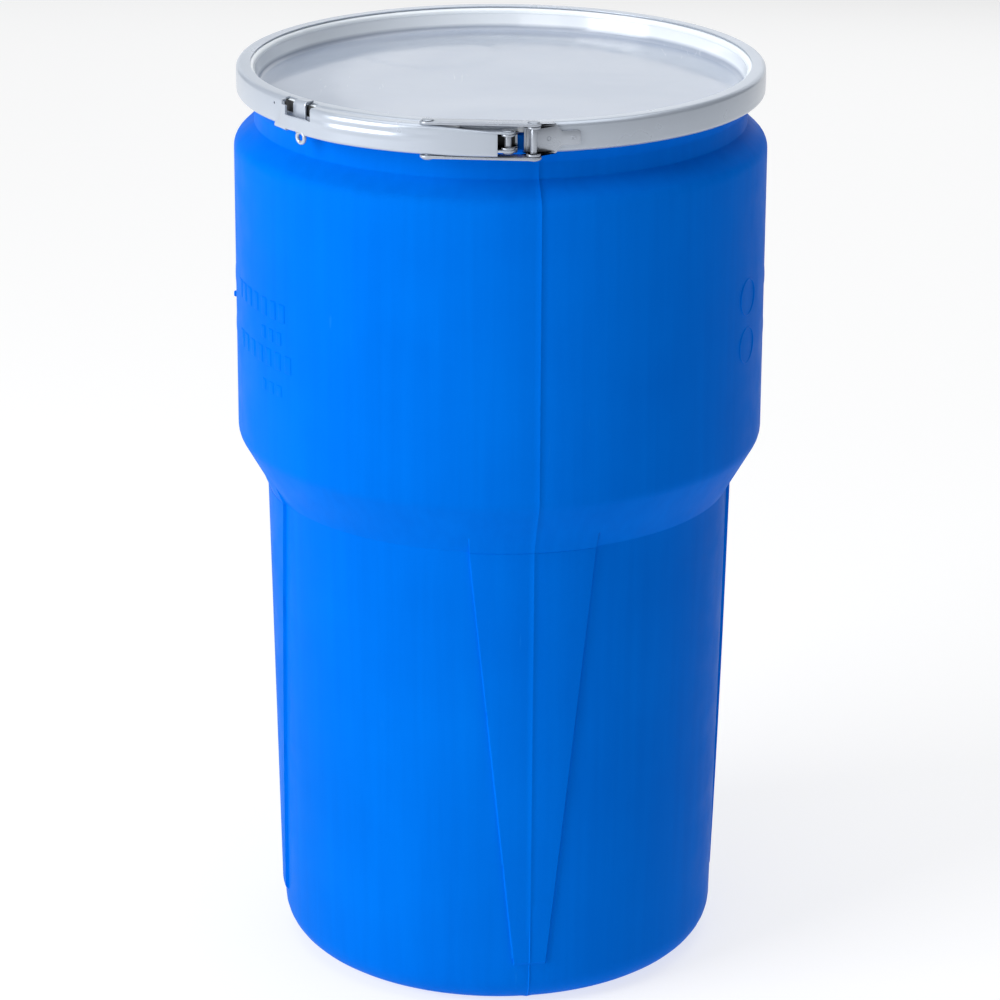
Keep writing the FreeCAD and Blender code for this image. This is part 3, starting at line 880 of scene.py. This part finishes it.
    def nub(self) -> Piece:
        """Small round nub on the left side."""
        place = on_ring(self.shoulder + 0.4 * MM, -90.0, self.marks_z - 11.0 * MM)
        bench = Bench("nub", lambda: bpy.ops.mesh.primitive_cylinder_add(
            vertices=24, radius=2.2 * MM, depth=4.0 * MM, location=place,
            rotation=(0.0, math.radians(90.0), 0.0)))
        return soften(bench.close(), 0.9 * MM, 40.0, 3)

    def build(self, shop: Workshop) -> None:
        """Models the shell and its marks and sets them on the drum."""
        bench = Bench.turned("drum_shell", self.profile(), closed=False)
        self.score_wedges(bench)
        self.score_parting(bench)
        bench.tidy()
        shell = bench.close()
        swell(shell, self.wedge_share, self.wedge_rise)
        swell(shell, self.bead_share, self.bead_rise)
        soften(shell, 0.0, 28.0)
        shop.fit(shell, Finish.BODY, "drum", "drum_body")
        marks = joined("blank_marks", self.marks() + [self.nub()])
        shop.fit(marks, Finish.BODY, "drum")


# ---------------------------------------------------------------- lid
@dataclass
class Lid:
    """Recessed moulded lid and its gasket."""

    place: Layout
    flange: float = 187.4 * MM
    plug: float = 177.3 * MM
    wall: float = 2.4 * MM
    floor: float = 3.0 * MM
    recess: float = 17.0 * MM
    top_drop: float = 1.5 * MM
    disc_centre: Point2 = (-52.0 * MM, 91.0 * MM)
    disc_radius: float = 45.0 * MM

    def profile(self) -> list[Point2]:
        """Section of the lid from the axis under the floor, round the skirt and back over the floor."""
        top = self.place.ring_high - self.top_drop
        floor = self.floor_z
        under = top - 3.0 * MM
        inner = self.plug - self.wall
        corners = [
            (0.0, floor - self.floor, 0.0),
            (self.plug - 0.4 * MM, floor - self.floor, 2.5 * MM),
            (self.plug, under, 0.0),
            (self.flange - 2.2 * MM, under, 0.0),
            (self.flange - 2.2 * MM, top - 5.4 * MM, 0.0),
            (self.flange, top - 5.4 * MM, 0.6 * MM),
            (self.flange, top, 2.0 * MM),
            (inner + 3.2 * MM, top, 3.0 * MM),
            (inner, floor, 3.0 * MM),
            (0.0, floor, 0.0),
        ]
        return split_runs(rounded(corners, step=10.0), 9.0 * MM)

    @property
    def floor_z(self) -> float:
        """Height of the recess's floor."""
        return self.place.ring_high - self.recess

    def disc_share(self, point: Vector) -> float:
        """Share of the raised disc's height at a point of the floor's top."""
        if abs(point.z - self.floor_z) > 0.2 * MM:
            return 0.0
        away = math.dist((point.x, point.y), self.disc_centre)
        return 1.0 - ease(away, self.disc_radius, self.disc_radius + 9.0 * MM)

    def wave_share(self, point: Vector) -> float:
        """Slow unevenness of the moulded floor."""
        if abs(point.z - self.floor_z) > 0.9 * MM or radius_of(point) > 0.170:
            return 0.0
        wave = noise.noise(Vector((point.x, point.y, 0.0)) * 9.0)
        return (0.5 + 0.5 * wave) * (1.0 - ease(radius_of(point), 0.135, 0.168))

    def build(self, shop: Workshop) -> None:
        """Models the lid and gasket and sets them on the lid's body."""
        lid = Bench.turned("lid_cover_shell", self.profile(), closed=False).close()
        swell(lid, self.disc_share, 0.35 * MM)
        swell(lid, self.wave_share, 2.0 * MM)
        soften(lid, 0.0, 40.0)
        shop.fit(lid, Finish.LID, "lid", "lid_cover")
        low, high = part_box("lid_gasket")
        outer = high.x
        section = rounded([
            (self.plug + 1.4 * MM, low.z + 0.5 * MM, 0.5 * MM),
            (outer - 2.6 * MM, low.z + 0.05 * MM, 0.4 * MM),
            (outer, low.z + 0.6 * MM, 0.6 * MM),
            (outer, high.z, 0.3 * MM),
            (self.plug + 1.4 * MM, high.z, 0.3 * MM),
        ], closed=True, step=20.0)
        gasket = Bench.turned("rim_gasket", section, steps=192).close()
        soften(gasket, 0.0, 40.0)
        shop.fit(gasket, Finish.SEAL, "lid", "lid_gasket")


# ---------------------------------------------------------------- closing ring
@dataclass
class ClosingRing:
    """Rolled U-section band in two halves, and the seal tab hooked over it."""

    place: Layout
    steel: float = 1.2 * MM
    top_lip: float = 180.5 * MM
    bottom_lip: float = 183.3 * MM
    roll: float = 3.4 * MM
    gap: Point2 = (3.4, 4.75)
    hinge_reach: float = 0.33
    slots: tuple[Point2, ...] = ((-50.3, 10.5 * MM), (-43.4, 8.5 * MM))
    leaf_span: Point2 = (-53.0, -40.5)
    wire_azimuth: float = -55.6
    tab_azimuth: float = -46.0
    tab_width: float = 12.0 * MM
    tab_steel: float = 1.4 * MM
    eye_drop: float = 4.0 * MM

    def section(self) -> list[Point2]:
        """Closed U section with rolled corners and a slightly crowned wall."""
        low, high, wall = self.place.ring_low, self.place.ring_high, self.place.ring_radius
        inner = wall - self.steel
        crown = 0.25 * MM
        return rounded([
            (self.top_lip, high, 0.5 * MM),
            (wall - crown, high, self.roll),
            (wall, self.place.middle, 60.0 * MM),
            (wall - crown, low, self.roll),
            (self.bottom_lip, low, 0.5 * MM),
            (self.bottom_lip, low + self.steel, 0.5 * MM),
            (inner, low + self.steel, self.roll - self.steel),
            (inner, high - self.steel, self.roll - self.steel),
            (self.top_lip, high - self.steel, 0.5 * MM),
        ], closed=True)

    def build_band(self, shop: Workshop) -> None:
        """Models both halves of the band."""
        left = Bench.turned("ring_left", self.section(), (-180.0, self.gap[0]), 150).close()
        carve(left, self.openings())
        soften(left, 0.0, 35.0)
        shop.fit(left, Finish.RING, "ring", "ring_band_left")
        right = Bench.turned("ring_right", self.section(), (self.gap[1], 180.0), 150).close()
        soften(right, 0.0, 35.0)
        shop.dress(right, Finish.RING, "ring_band_right")
        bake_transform(right)

    def openings(self) -> list[Piece]:
        """Cutters for the two slots beside the tab and the small hole for a seal wire."""
        wall, middle = self.place.ring_radius, self.place.middle
        cutters = []
        for azimuth, width in self.slots:
            place = on_ring(wall - 1.9 * MM, azimuth, middle + 7.0 * MM)
            bench = Bench("slot", lambda: bpy.ops.mesh.primitive_cube_add(
                size=1.0, location=place, rotation=(0.0, 0.0, math.radians(azimuth)),
                scale=(width, 7.0 * MM, 11.0 * MM)))
            cutters.append(bench.close())
        place = on_ring(wall, self.wire_azimuth, middle + 4.3 * MM)
        bench = Bench("hole", lambda: bpy.ops.mesh.primitive_cylinder_add(
            vertices=20, radius=0.9 * MM, depth=6.0 * MM, location=place,
            rotation=(math.radians(90.0), 0.0, math.radians(self.wire_azimuth))))
        cutters.append(bench.close())
        return cutters

    def build_tab(self, shop: Workshop) -> None:
        """Models the strip over the band, the eye that hangs under it and the leaf behind the slots, coloured
        near black as painted shade.
        """
        wall = self.place.ring_radius
        low, high = self.place.ring_low, self.place.ring_high
        half = math.degrees(self.tab_width * 0.44 / wall)
        path = rounded([
            (wall - 7.0 * MM, high + 0.05 * MM, 0.0),
            (wall + 0.1 * MM, high + 0.05 * MM, 1.8 * MM),
            (wall + 0.1 * MM, low - 1.2 * MM, 0.0),
        ], step=12.0)
        span = (self.tab_azimuth - half, self.tab_azimuth + half)
        strip = Bench.turned("strip", path, span, 6, closed=False).close()
        thicken(strip, self.tab_steel - 0.3 * MM, outwards=True)
        soften(strip, 0.35 * MM)
        eye = on_ring(wall + self.tab_steel / 2.0, self.tab_azimuth, low - self.eye_drop + 0.3 * MM)
        loop = circlet("eye", eye, 3.7 * MM, 1.45 * MM, (40, 12))
        behind = wall - self.steel - 0.25 * MM
        leaf = Bench.turned("leaf", [
            (behind - 0.9 * MM, self.place.middle + 0.5 * MM), (behind, self.place.middle + 0.5 * MM),
            (behind, high - 1.6 * MM), (behind - 0.9 * MM, high - 1.6 * MM)], self.leaf_span, 20).close()
        soften(leaf, 0.2 * MM)
        for part in (strip, loop):
            part.data.materials.append(shop.finishes[Finish.RING])
        # The leaf's near-black steel is painted shade, seen through the slots.
        leaf.data.materials.append(shop.finishes[Finish.RECESS])
        shop.fit(joined("seal_strip", [strip, loop, leaf]), Finish.RING, "ring", "seal_tab")

    def build(self, shop: Workshop) -> None:
        """Models the band and the tab."""
        self.build_band(shop)
        self.build_tab(shop)


# ---------------------------------------------------------------- pins and ears
@dataclass
class Hardware:
    """Rivets, pins, ears and the sheet thickness shared by the lock's pieces."""

    place: Layout
    shank: float = 2.4 * MM
    head: float = 4.3 * MM
    head_height: float = 1.2 * MM
    sheet: float = 1.5 * MM
    eye: float = 5.0 * MM

    def rivet_end(self, name: str, centre: Vector, seat: float, direction: float,
                  height: float | None = None) -> Piece:
        """A low domed head.

        Args:
            name: the piece's name.
            centre: a point on the pin's axis.
            seat: height that the head sits on.
            direction: 1 for an upper head and -1 for a lower one.
            height: height of the dome, or None for the usual one.

        Returns:
            The head.
        """
        rise = (self.head_height if height is None else height) * direction
        profile = [(0.0, seat - 0.6 * rise), (self.head * 0.5, seat - 0.6 * rise), (self.head * 0.5, seat),
                   (self.head - 0.25 * MM, seat), (self.head, seat + 0.18 * rise)]
        for k in range(1, 7):
            angle = math.radians(15.0 * k)
            profile.append((self.head * math.cos(angle), seat + rise * (0.18 + 0.82 * math.sin(angle))))
        axis = Vector((centre.x, centre.y, 0.0))
        return soften(Bench.turned(name, profile, steps=32, centre=axis, closed=False).close(), 0.0, 35.0)

    def shaft(self, name: str, centre: Vector, low: float, high: float) -> Piece:
        """A plain round pin with softened ends."""
        axis = Vector((centre.x, centre.y, 0.0))
        profile = [(0.0, low), (self.shank, low), (self.shank, high), (0.0, high)]
        return soften(Bench.turned(name, profile, steps=32, centre=axis, closed=False).close(), 0.3 * MM)

    def headed(self, name: str, centre: Vector, half: float) -> Piece:
        """A pin with a head at each end, half long either side of the ring's middle."""
        low, high = self.place.middle - half, self.place.middle + half
        parts = [self.shaft(name, centre, low, high), self.rivet_end("head", centre, high, 1.0),
                 self.rivet_end("head", centre, low, -1.0, 1.5 * MM)]
        return joined(name, parts)

    def ear(self, centre: Vector, root: Sequence[Point2], low: float, high: float) -> Piece:
        """A flat ear round a pin, run back to its root.

        Args:
            centre: the pin's axis.
            root: the two corners where the ear leaves the sheet, seen from above.
            low: height of its lower face.
            high: height of its upper face.

        Returns:
            The ear.
        """
        first, last = (Vector(corner) for corner in root)
        middle = Vector((centre.x, centre.y))
        start, stop = first - middle, last - middle
        begin = math.atan2(start.y, start.x) - math.acos(min(1.0, self.eye / start.length))
        finish = math.atan2(stop.y, stop.x) + math.acos(min(1.0, self.eye / stop.length))
        while begin < finish:
            begin += 2.0 * math.pi
        outline = [(first.x, first.y), *arc(middle, self.eye, begin, finish - begin, 20), (last.x, last.y)]
        return soften(Bench.plate("ear", outline, low, high).close(), 0.35 * MM, 50.0)


@dataclass
class Brackets:
    """Bent sheet brackets spot-welded to the band's two ends."""

    place: Layout
    tools: Hardware
    fulcrum_half: float = 5.4 * MM
    catch_half: float = 10.3 * MM
    fulcrum_span: Point2 = (-9.0, 2.9)
    catch_span: Point2 = (5.2, 16.4)
    cap_span: Point2 = (5.6, 11.0)
    cap_half: float = 10.75 * MM
    cap_reach: float = 3.4 * MM
    cap_drop: float = 4.0 * MM

    def curved(self, name: str, half: float, span: Point2, steps: int) -> Bench:
        """A curved sheet against the band, between two azimuths."""
        wall = self.place.ring_radius
        middle = self.place.middle
        section = [(wall + 0.05 * MM, middle - half), (wall + self.tools.sheet, middle - half),
                   (wall + self.tools.sheet, middle), (wall + self.tools.sheet, middle + half),
                   (wall + 0.05 * MM, middle + half)]
        return Bench.turned(name, section, span, steps)

    def ears(self, centre: Vector, half: float, back: float) -> list[Piece]:
        """Upper and lower ear of a bracket; back is the azimuth step to its root."""
        wall = self.place.ring_radius + 0.4 * MM
        azimuth = azimuth_of(centre)
        near = on_ring(wall, azimuth - math.copysign(1.2, back), 0.0)
        far = on_ring(wall, azimuth + back, 0.0)
        root = [(near.x, near.y), (far.x, far.y)] if back > 0.0 else [(far.x, far.y), (near.x, near.y)]
        middle, sheet = self.place.middle, self.tools.sheet
        return [self.tools.ear(centre, root, middle + half - sheet, middle + half),
                self.tools.ear(centre, root, middle - half, middle - half + sheet)]

    def build_fulcrum(self, shop: Workshop) -> None:
        """Models the bracket that holds the lever's pin."""
        web = self.curved("web", self.fulcrum_half, self.fulcrum_span, 12).close()
        soften(web, 0.3 * MM)
        parts = [web] + self.ears(self.place.fulcrum, self.fulcrum_half, -3.0)
        # The web's near-black steel is painted shade between the lever's end and the fulcrum.
        web.data.materials.append(shop.finishes[Finish.RECESS])
        for ear in parts[1:]:
            ear.data.materials.append(shop.finishes[Finish.LOCK])
        shop.fit(joined("fulcrum_ears", parts), Finish.LOCK, "ring", "fulcrum_bracket")
        pin = self.tools.headed("fulcrum_rivet", self.place.fulcrum, 7.3 * MM)
        shop.fit(pin, Finish.LOCK, "ring", "fulcrum_pin")

    def tongue_share(self, azimuth: float) -> float:
        """Share of the bracket's full half height along its tongue."""
        share = 1.0 - 0.51 * ease(azimuth, 11.0, 12.7)
        if azimuth > 15.6:
            share *= math.sqrt(max(1.0 - ((azimuth - 15.6) / 1.0) ** 2, 0.0)) * 0.45 + 0.55
        return share

    def cap(self, side: float) -> Piece:
        """Bend that carries the catch bracket's web over one of the ring's rolled corners."""
        wall, edge = self.place.ring_radius, self.place.middle + side * self.cap_half
        face, foot = wall + self.tools.sheet - 0.25 * MM, edge - side * self.cap_drop
        section = rounded([
            (wall - self.cap_reach, edge, 0.0),
            (face, edge, 1.0 * MM),
            (face, foot, 0.0),
            (wall - 0.2 * MM, foot, 0.0),
            (wall - self.cap_reach, edge - side * 1.5 * MM, 0.0),
        ], closed=True)
        return soften(Bench.turned("cap", section, self.cap_span, 12).close(), 0.2 * MM)

    def build_catch(self, shop: Workshop) -> None:
        """Models the bracket with the long welded tongue, and the pin's shank."""
        steps = 56
        span = self.catch_span
        bench = self.curved("web", self.catch_half, span, steps)
        middle = Vector((0.0, 0.0, self.place.middle))
        for k in range(steps + 1):
            azimuth = span[0] + (span[1] - span[0]) * k / steps
            share = self.tongue_share(azimuth)
            if share < 0.999:
                bench.pick(beside(azimuth))
                bench.scale((1.0, 1.0, share), middle)
        web = bench.close()
        soften(web, 0.3 * MM)
        face = self.place.ring_radius + self.tools.sheet
        parts = [web] + self.ears(self.place.catch_pin, self.catch_half, 2.6)
        parts += [self.cap(side) for side in (1.0, -1.0)]
        welds = [on_ring(face, azimuth, self.place.middle) for azimuth in (9.8, 14.9)]
        parts += [circlet("weld", place, 1.25 * MM, 0.28 * MM, (24, 8)) for place in welds]
        shop.fit(joined("catch_plate", parts), Finish.LOCK, "catch", "catch_bracket")
        reach = self.catch_half + 0.2 * MM
        shank = self.tools.shaft("catch_shank", self.place.catch_pin, self.place.middle - reach,
                                 self.place.middle + reach)
        shop.fit(shank, Finish.LOCK, "catch", "catch_pin")

    def build(self, shop: Workshop) -> None:
        """Models both brackets."""
        self.build_fulcrum(shop)
        self.build_catch(shop)


# ---------------------------------------------------------------- lever
@dataclass
class Lever:
    """Ribbed channel lever that wraps the front left of the ring."""

    place: Layout
    tools: Hardware
    radius: float = 202.0 * MM
    half: float = 10.4 * MM
    flange_inner: float = 192.2 * MM
    span: Point2 = (-54.1, -0.6)
    flange_end: float = -8.2
    rib_rise: float = 0.9 * MM
    notch_span: Point2 = (-50.6, -41.1)
    strip_span: Point2 = (-49.1, -43.1)
    notch_drop: float = 3.0 * MM
    strip_sill: float = 1.0 * MM
    foot_notch: float = 8.6 * MM
    lean_start: float = -50.7
    lean_width: float = 3.4
    lean: float = 10.0 * MM
    hug_radius: float = 197.8 * MM
    tip_radius: float = 195.1 * MM

    def section(self) -> list[Point2]:
        """Open section: upper flange, web and lower flange."""
        middle = self.place.middle
        web = self.radius - self.rib_rise
        corners = [
            (self.flange_inner, middle + self.half, 0.0),
            (web, middle + self.half, 2.2 * MM),
            (web, middle - self.half, 2.2 * MM),
            (self.flange_inner, middle - self.half, 0.0),
        ]
        return split_runs(rounded(corners, step=15.0), 1.05 * MM)

    def rib_share(self, point: Vector) -> float:
        """Share of the two ribs' height at a point of the web."""
        if radius_of(point) < self.radius - self.rib_rise - 0.6 * MM:
            return 0.0
        height = point.z - self.place.middle
        rib = 0.0
        for crest in (6.6 * MM, 0.9 * MM):
            away = abs(height - crest) / (2.9 * MM)
            rib = max(rib, math.cos(min(away, 1.0) * math.pi / 2.0) ** 1.3)
        azimuth = azimuth_of(point)
        return rib * ease(azimuth, -44.0, -36.0) * (1.0 - ease(azimuth, -22.0, -10.5))

    def shape_nose(self, bench: Bench, columns: Sequence[float]) -> None:
        """Slopes the upper edge down towards the pins."""
        middle = Vector((0.0, 0.0, self.place.middle))
        for azimuth in columns:
            if azimuth > -14.0:
                share = 1.0 - 0.34 * (azimuth + 14.0) / 13.4
                bench.pick(lambda c: abs(azimuth_of(c) - azimuth) < 0.05 and c.z > middle.z)
                bench.scale((1.0, 1.0, share), middle)

    def tip_share(self, azimuth: float) -> float:
        """Share of the channel's depth that is left near the free end."""
        depth = self.radius - self.rib_rise - self.flange_inner
        hug = (self.hug_radius - self.flange_inner) / depth
        tip = (self.tip_radius - self.flange_inner) / depth
        return 1.0 + (hug - 1.0) * ease(azimuth, -33.0, -46.0) + (tip - hug) * ease(azimuth, -47.0, -53.4)

    def shape_tip(self, bench: Bench, columns: Sequence[float]) -> None:
        """Draws the channel in towards the ring at the free end."""
        for azimuth in columns:
            share = self.tip_share(azimuth)
            if share < 0.999:
                bench.pick(beside(azimuth))
                bench.scale((share, share, 1.0), on_ring(self.flange_inner, azimuth, self.place.middle))

    def trim(self, bench: Bench) -> None:
        """Cuts the flanges away at the pins and round the seal tab."""
        middle = self.place.middle
        top = middle + self.half
        inner = self.radius - 3.4 * MM
        for azimuth in (self.notch_span[0], *self.strip_span, self.notch_span[1], self.flange_end):
            bench.pick(beside(azimuth, 2.0), faces=True)
            bench.cut(Vector((0.0, 0.0, 0.0)), on_ring(1.0, azimuth + 90.0, 0.0))
        for height in (-self.foot_notch, self.strip_sill, self.half - self.notch_drop):
            bench.pick(lambda c: azimuth_of(c) < -39.0, faces=True)
            bench.cut(Vector((0.0, 0.0, middle + height)), Vector((0.0, 0.0, 1.0)))
        bench.drop_faces(lambda c: azimuth_of(c) > self.flange_end and radius_of(c) < inner)
        bench.drop_faces(lambda c: self.between(c, self.notch_span) and c.z > top - self.notch_drop)
        sill = (self.strip_span[0], self.notch_span[1])
        bench.drop_faces(lambda c: self.between(c, sill) and c.z > middle + self.strip_sill)
        bench.drop_faces(lambda c: self.between(c, self.strip_span) and c.z < middle - self.foot_notch)

    @staticmethod
    def between(point: Vector, span: Point2) -> bool:
        """Whether a point's azimuth lies inside a span."""
        return span[0] < azimuth_of(point) < span[1]

    def lean_share(self, point: Vector) -> float:
        """Share of the shift that gives the free end its leaning S-shaped edge."""
        azimuth = azimuth_of(point)
        if azimuth > self.lean_start:
            return 0.0
        climb = (point.z - self.place.middle + self.half) / (2.0 * self.half)
        return min((self.lean_start - azimuth) / self.lean_width, 1.0) * (0.12 + 0.88 * ease(climb, 0.0, 0.7))

    def arm(self, low: float, high: float) -> Piece:
        """Ear of the lever from its web to the fulcrum pin."""
        centre = self.place.fulcrum
        start = on_ring(self.radius - 1.0 * MM, self.flange_end - 0.6, 0.0)
        root = on_ring(self.flange_inner + 1.2 * MM, self.flange_end - 0.6, 0.0)
        corner = on_ring(self.radius - 1.0 * MM, self.span[1], 0.0)
        begin = math.radians(azimuth_of(centre)) + math.pi / 2.0
        outline = [(root.x, root.y), *arc(centre, self.tools.eye, begin, -math.pi, 15),
                   (corner.x, corner.y), (start.x, start.y)]
        return soften(Bench.plate("arm", outline, low, high).close(), 0.35 * MM, 50.0)

    def build(self, shop: Workshop) -> None:
        """Models the lever and the rivet that the straps turn on."""
        steps = 107
        bench = Bench.turned("channel", self.section(), self.span, steps, closed=False)
        columns = [self.span[0] + (self.span[1] - self.span[0]) * k / steps for k in range(steps + 1)]
        channel = bench.close()
        swell(channel, self.rib_share, self.rib_rise)
        only(channel)
        bpy.ops.object.mode_set(mode="EDIT")
        self.shape_nose(bench, columns)
        self.trim(bench)
        self.shape_tip(bench, columns)
        channel = bench.close()
        swell(channel, self.lean_share, self.lean, on_ring(1.0, -52.5 + 90.0, 0.0))
        thicken(channel, self.tools.sheet)
        soften(channel, 0.3 * MM, 40.0)
        middle = self.place.middle
        arms = [self.arm(middle + 5.6 * MM, middle + 7.1 * MM), self.arm(middle - 7.1 * MM, middle - 5.6 * MM)]
        shop.fit(joined("lever_channel", [channel] + arms), Finish.RING, "lever", "lever")
        pin = self.tools.headed("lever_link_rivet", self.place.lever_pin, 13.0 * MM)
        shop.fit(pin, Finish.LOCK, "lever", "lever_rivet")


@dataclass
class Straps:
    """The two link straps and the riveted ends of the catch pin."""

    place: Layout
    tools: Hardware
    half_width: float = 5.5 * MM
    low: float = 10.8 * MM
    thickness: float = 2.0 * MM

    def outline(self) -> list[Point2]:
        """Strap seen from above, round at both ends."""
        start = self.place.lever_pin.to_2d()
        stop = self.place.catch_pin.to_2d()
        heading = math.atan2(stop.y - start.y, stop.x - start.x)
        half_turn = math.pi / 2.0
        return (arc(start, self.half_width, heading + half_turn, math.pi, 16)
                + arc(stop, self.half_width, heading - half_turn, math.pi, 16))

    def build(self, shop: Workshop) -> None:
        """Models both straps and both riveted ends."""
        middle = self.place.middle
        for side, word in ((1.0, "top"), (-1.0, "bottom")):
            faces = sorted((middle + side * self.low, middle + side * (self.low + self.thickness)))
            strap = Bench.plate("strap_" + word, self.outline(), *faces).close()
            soften(strap, 0.5 * MM, 50.0, 3)
            shop.fit(strap, Finish.LOCK, "link", "link_" + word)
            seat = middle + side * (self.low + self.thickness)
            head = self.tools.rivet_end("catch_rivet_" + word, self.place.catch_pin, seat, side)
            shop.fit(head, Finish.LOCK, "link", "catch_head_" + word)


# ---------------------------------------------------------------- studio
@dataclass(frozen=True)
class Softbox:
    """One rectangular soft light aimed at a point."""

    name: str
    place: Corner
    aim: Corner
    size: Point2
    power: float
    tint: Corner = (1.0, 1.0, 1.0)

    def hang(self) -> None:
        """Adds the light to the scene."""
        light = bpy.data.lights.new(self.name, "AREA")
        light.shape = "RECTANGLE"
        light.size, light.size_y = self.size
        light.energy = self.power
        light.color = self.tint
        lamp = bpy.data.objects.new(self.name, light)
        lamp.location = self.place
        lamp.rotation_euler = (Vector(self.aim) - Vector(self.place)).to_track_quat("-Z", "Y").to_euler()
        bpy.context.scene.collection.objects.link(lamp)


@dataclass
class Studio:
    """Pale floor, soft light and the camera."""

    distance: float = 2.8891
    elevation: float = 19.567
    target_height: float = 0.341
    roll: float = 0.268
    lens: float = 138.64
    shift: float = 0.00099
    floor_grey: float = 0.36
    floor_glow: float = 0.70
    room_tint: Corner = (0.93, 0.96, 1.0)
    room_glow: float = 0.08
    shine_glow: float = 0.30
    wall_tint: Corner = (0.94, 0.95, 0.96)
    wall_glow: float = 0.95
    aim: Corner = (0.0, 0.0, 0.38)

    def build_floor(self) -> None:
        """Lays a plain pale floor."""
        bpy.ops.object.select_all(action="DESELECT")
        bpy.ops.mesh.primitive_plane_add(size=30.0, location=(0.0, 0.0, -0.0004))
        floor = bpy.context.object
        floor.name = "floor"
        made = Recipe("pale_floor", 0.9)
        made.preset({"Base Color": (*[self.floor_grey] * 3, 1.0), "Specular IOR Level": 0.1,
                     "Emission Color": (1.0, 1.0, 1.0, 1.0), "Emission Strength": self.floor_glow})
        floor.data.materials.append(made.material)

    def build_room(self) -> None:
        """Sets the room: a dim glow on the drum, a brighter one in its reflections and a pale wall behind."""
        world = bpy.data.worlds.new("room")
        world.use_nodes = True
        nodes, links = world.node_tree.nodes, world.node_tree.links
        path = nodes.new("ShaderNodeLightPath")
        shown = nodes["Background"]
        shown.inputs["Color"].default_value = (*self.room_tint, 1.0)
        shown.inputs["Strength"].default_value = self.room_glow
        for ray, tint, strength in (("Is Glossy Ray", self.room_tint, self.shine_glow),
                                    ("Is Camera Ray", self.wall_tint, self.wall_glow)):
            light = nodes.new("ShaderNodeBackground")
            light.inputs["Color"].default_value = (*tint, 1.0)
            light.inputs["Strength"].default_value = strength
            mix = nodes.new("ShaderNodeMixShader")
            links.new(path.outputs[ray], mix.inputs["Fac"])
            links.new(shown.outputs[0], mix.inputs[1])
            links.new(light.outputs["Background"], mix.inputs[2])
            shown = mix
        links.new(shown.outputs[0], nodes["World Output"].inputs["Surface"])
        bpy.context.scene.world = world

    def build_light(self) -> None:
        """Hangs the soft lights."""
        lights = (
            Softbox("key", (-2.6, -1.5, 1.6), self.aim, (1.8, 2.4), 95.0),
            Softbox("front", (-1.2, -3.4, 2.0), self.aim, (1.4, 1.4), 12.0),
            Softbox("overhead", (0.0, 0.0, 3.2), self.aim, (3.2, 3.2), 58.0, (0.98, 0.99, 1.0)),
            Softbox("backdrop", (0.4, 3.2, 1.4), (0.0, 0.0, 0.9), (4.5, 2.2), 20.0, (0.96, 0.98, 1.0)),
            Softbox("back_panel", (1.3, 3.2, 2.2), (0.0, 0.0, 0.7), (3.6, 2.0), 8.0, (0.97, 0.98, 1.0)),
            Softbox("right_top", (2.0, -0.9, 3.0), self.aim, (1.2, 1.2), 4.0),
        )
        for light in lights:
            light.hang()

    def build_camera(self) -> None:
        """Places the camera in front, a little above the drum."""
        tilt, half_roll = math.radians(self.elevation), math.radians(self.roll) / 2.0
        camera = bpy.data.cameras.new("camera")
        camera.lens = self.lens
        camera.sensor_width = 36.0
        camera.shift_x = self.shift
        camera.dof.use_dof = False
        rig = bpy.data.objects.new("camera", camera)
        rise = self.distance * math.sin(tilt)
        rig.location = (0.0, -self.distance * math.cos(tilt), self.target_height + rise)
        rig.rotation_mode = "QUATERNION"
        look = (Vector((0.0, 0.0, self.target_height)) - rig.location).to_track_quat("-Z", "Y")
        rig.rotation_quaternion = look @ Quaternion((math.cos(half_roll), 0.0, 0.0, math.sin(half_roll)))
        bpy.context.scene.collection.objects.link(rig)
        bpy.context.scene.camera = rig

    def build(self) -> None:
        """Builds the studio."""
        self.build_floor()
        self.build_room()
        self.build_light()
        self.build_camera()
        bpy.context.scene.view_settings.view_transform = "Standard"


def main() -> None:
    """Builds every sub-assembly around the frame."""
    logging.basicConfig(level=logging.INFO, format="%(message)s")
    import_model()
    bpy.ops.object.select_all(action="DESELECT")
    place = Layout.from_frame()
    tools = Hardware(place)
    lid = Lid(place)
    shop = Workshop(lid.floor_z)
    DrumBody(place).build(shop)
    lid.build(shop)
    ClosingRing(place).build(shop)
    Brackets(place, tools).build(shop)
    Lever(place, tools).build(shop)
    Straps(place, tools).build(shop)
    Studio().build()


if __name__ == "__main__":
    main()
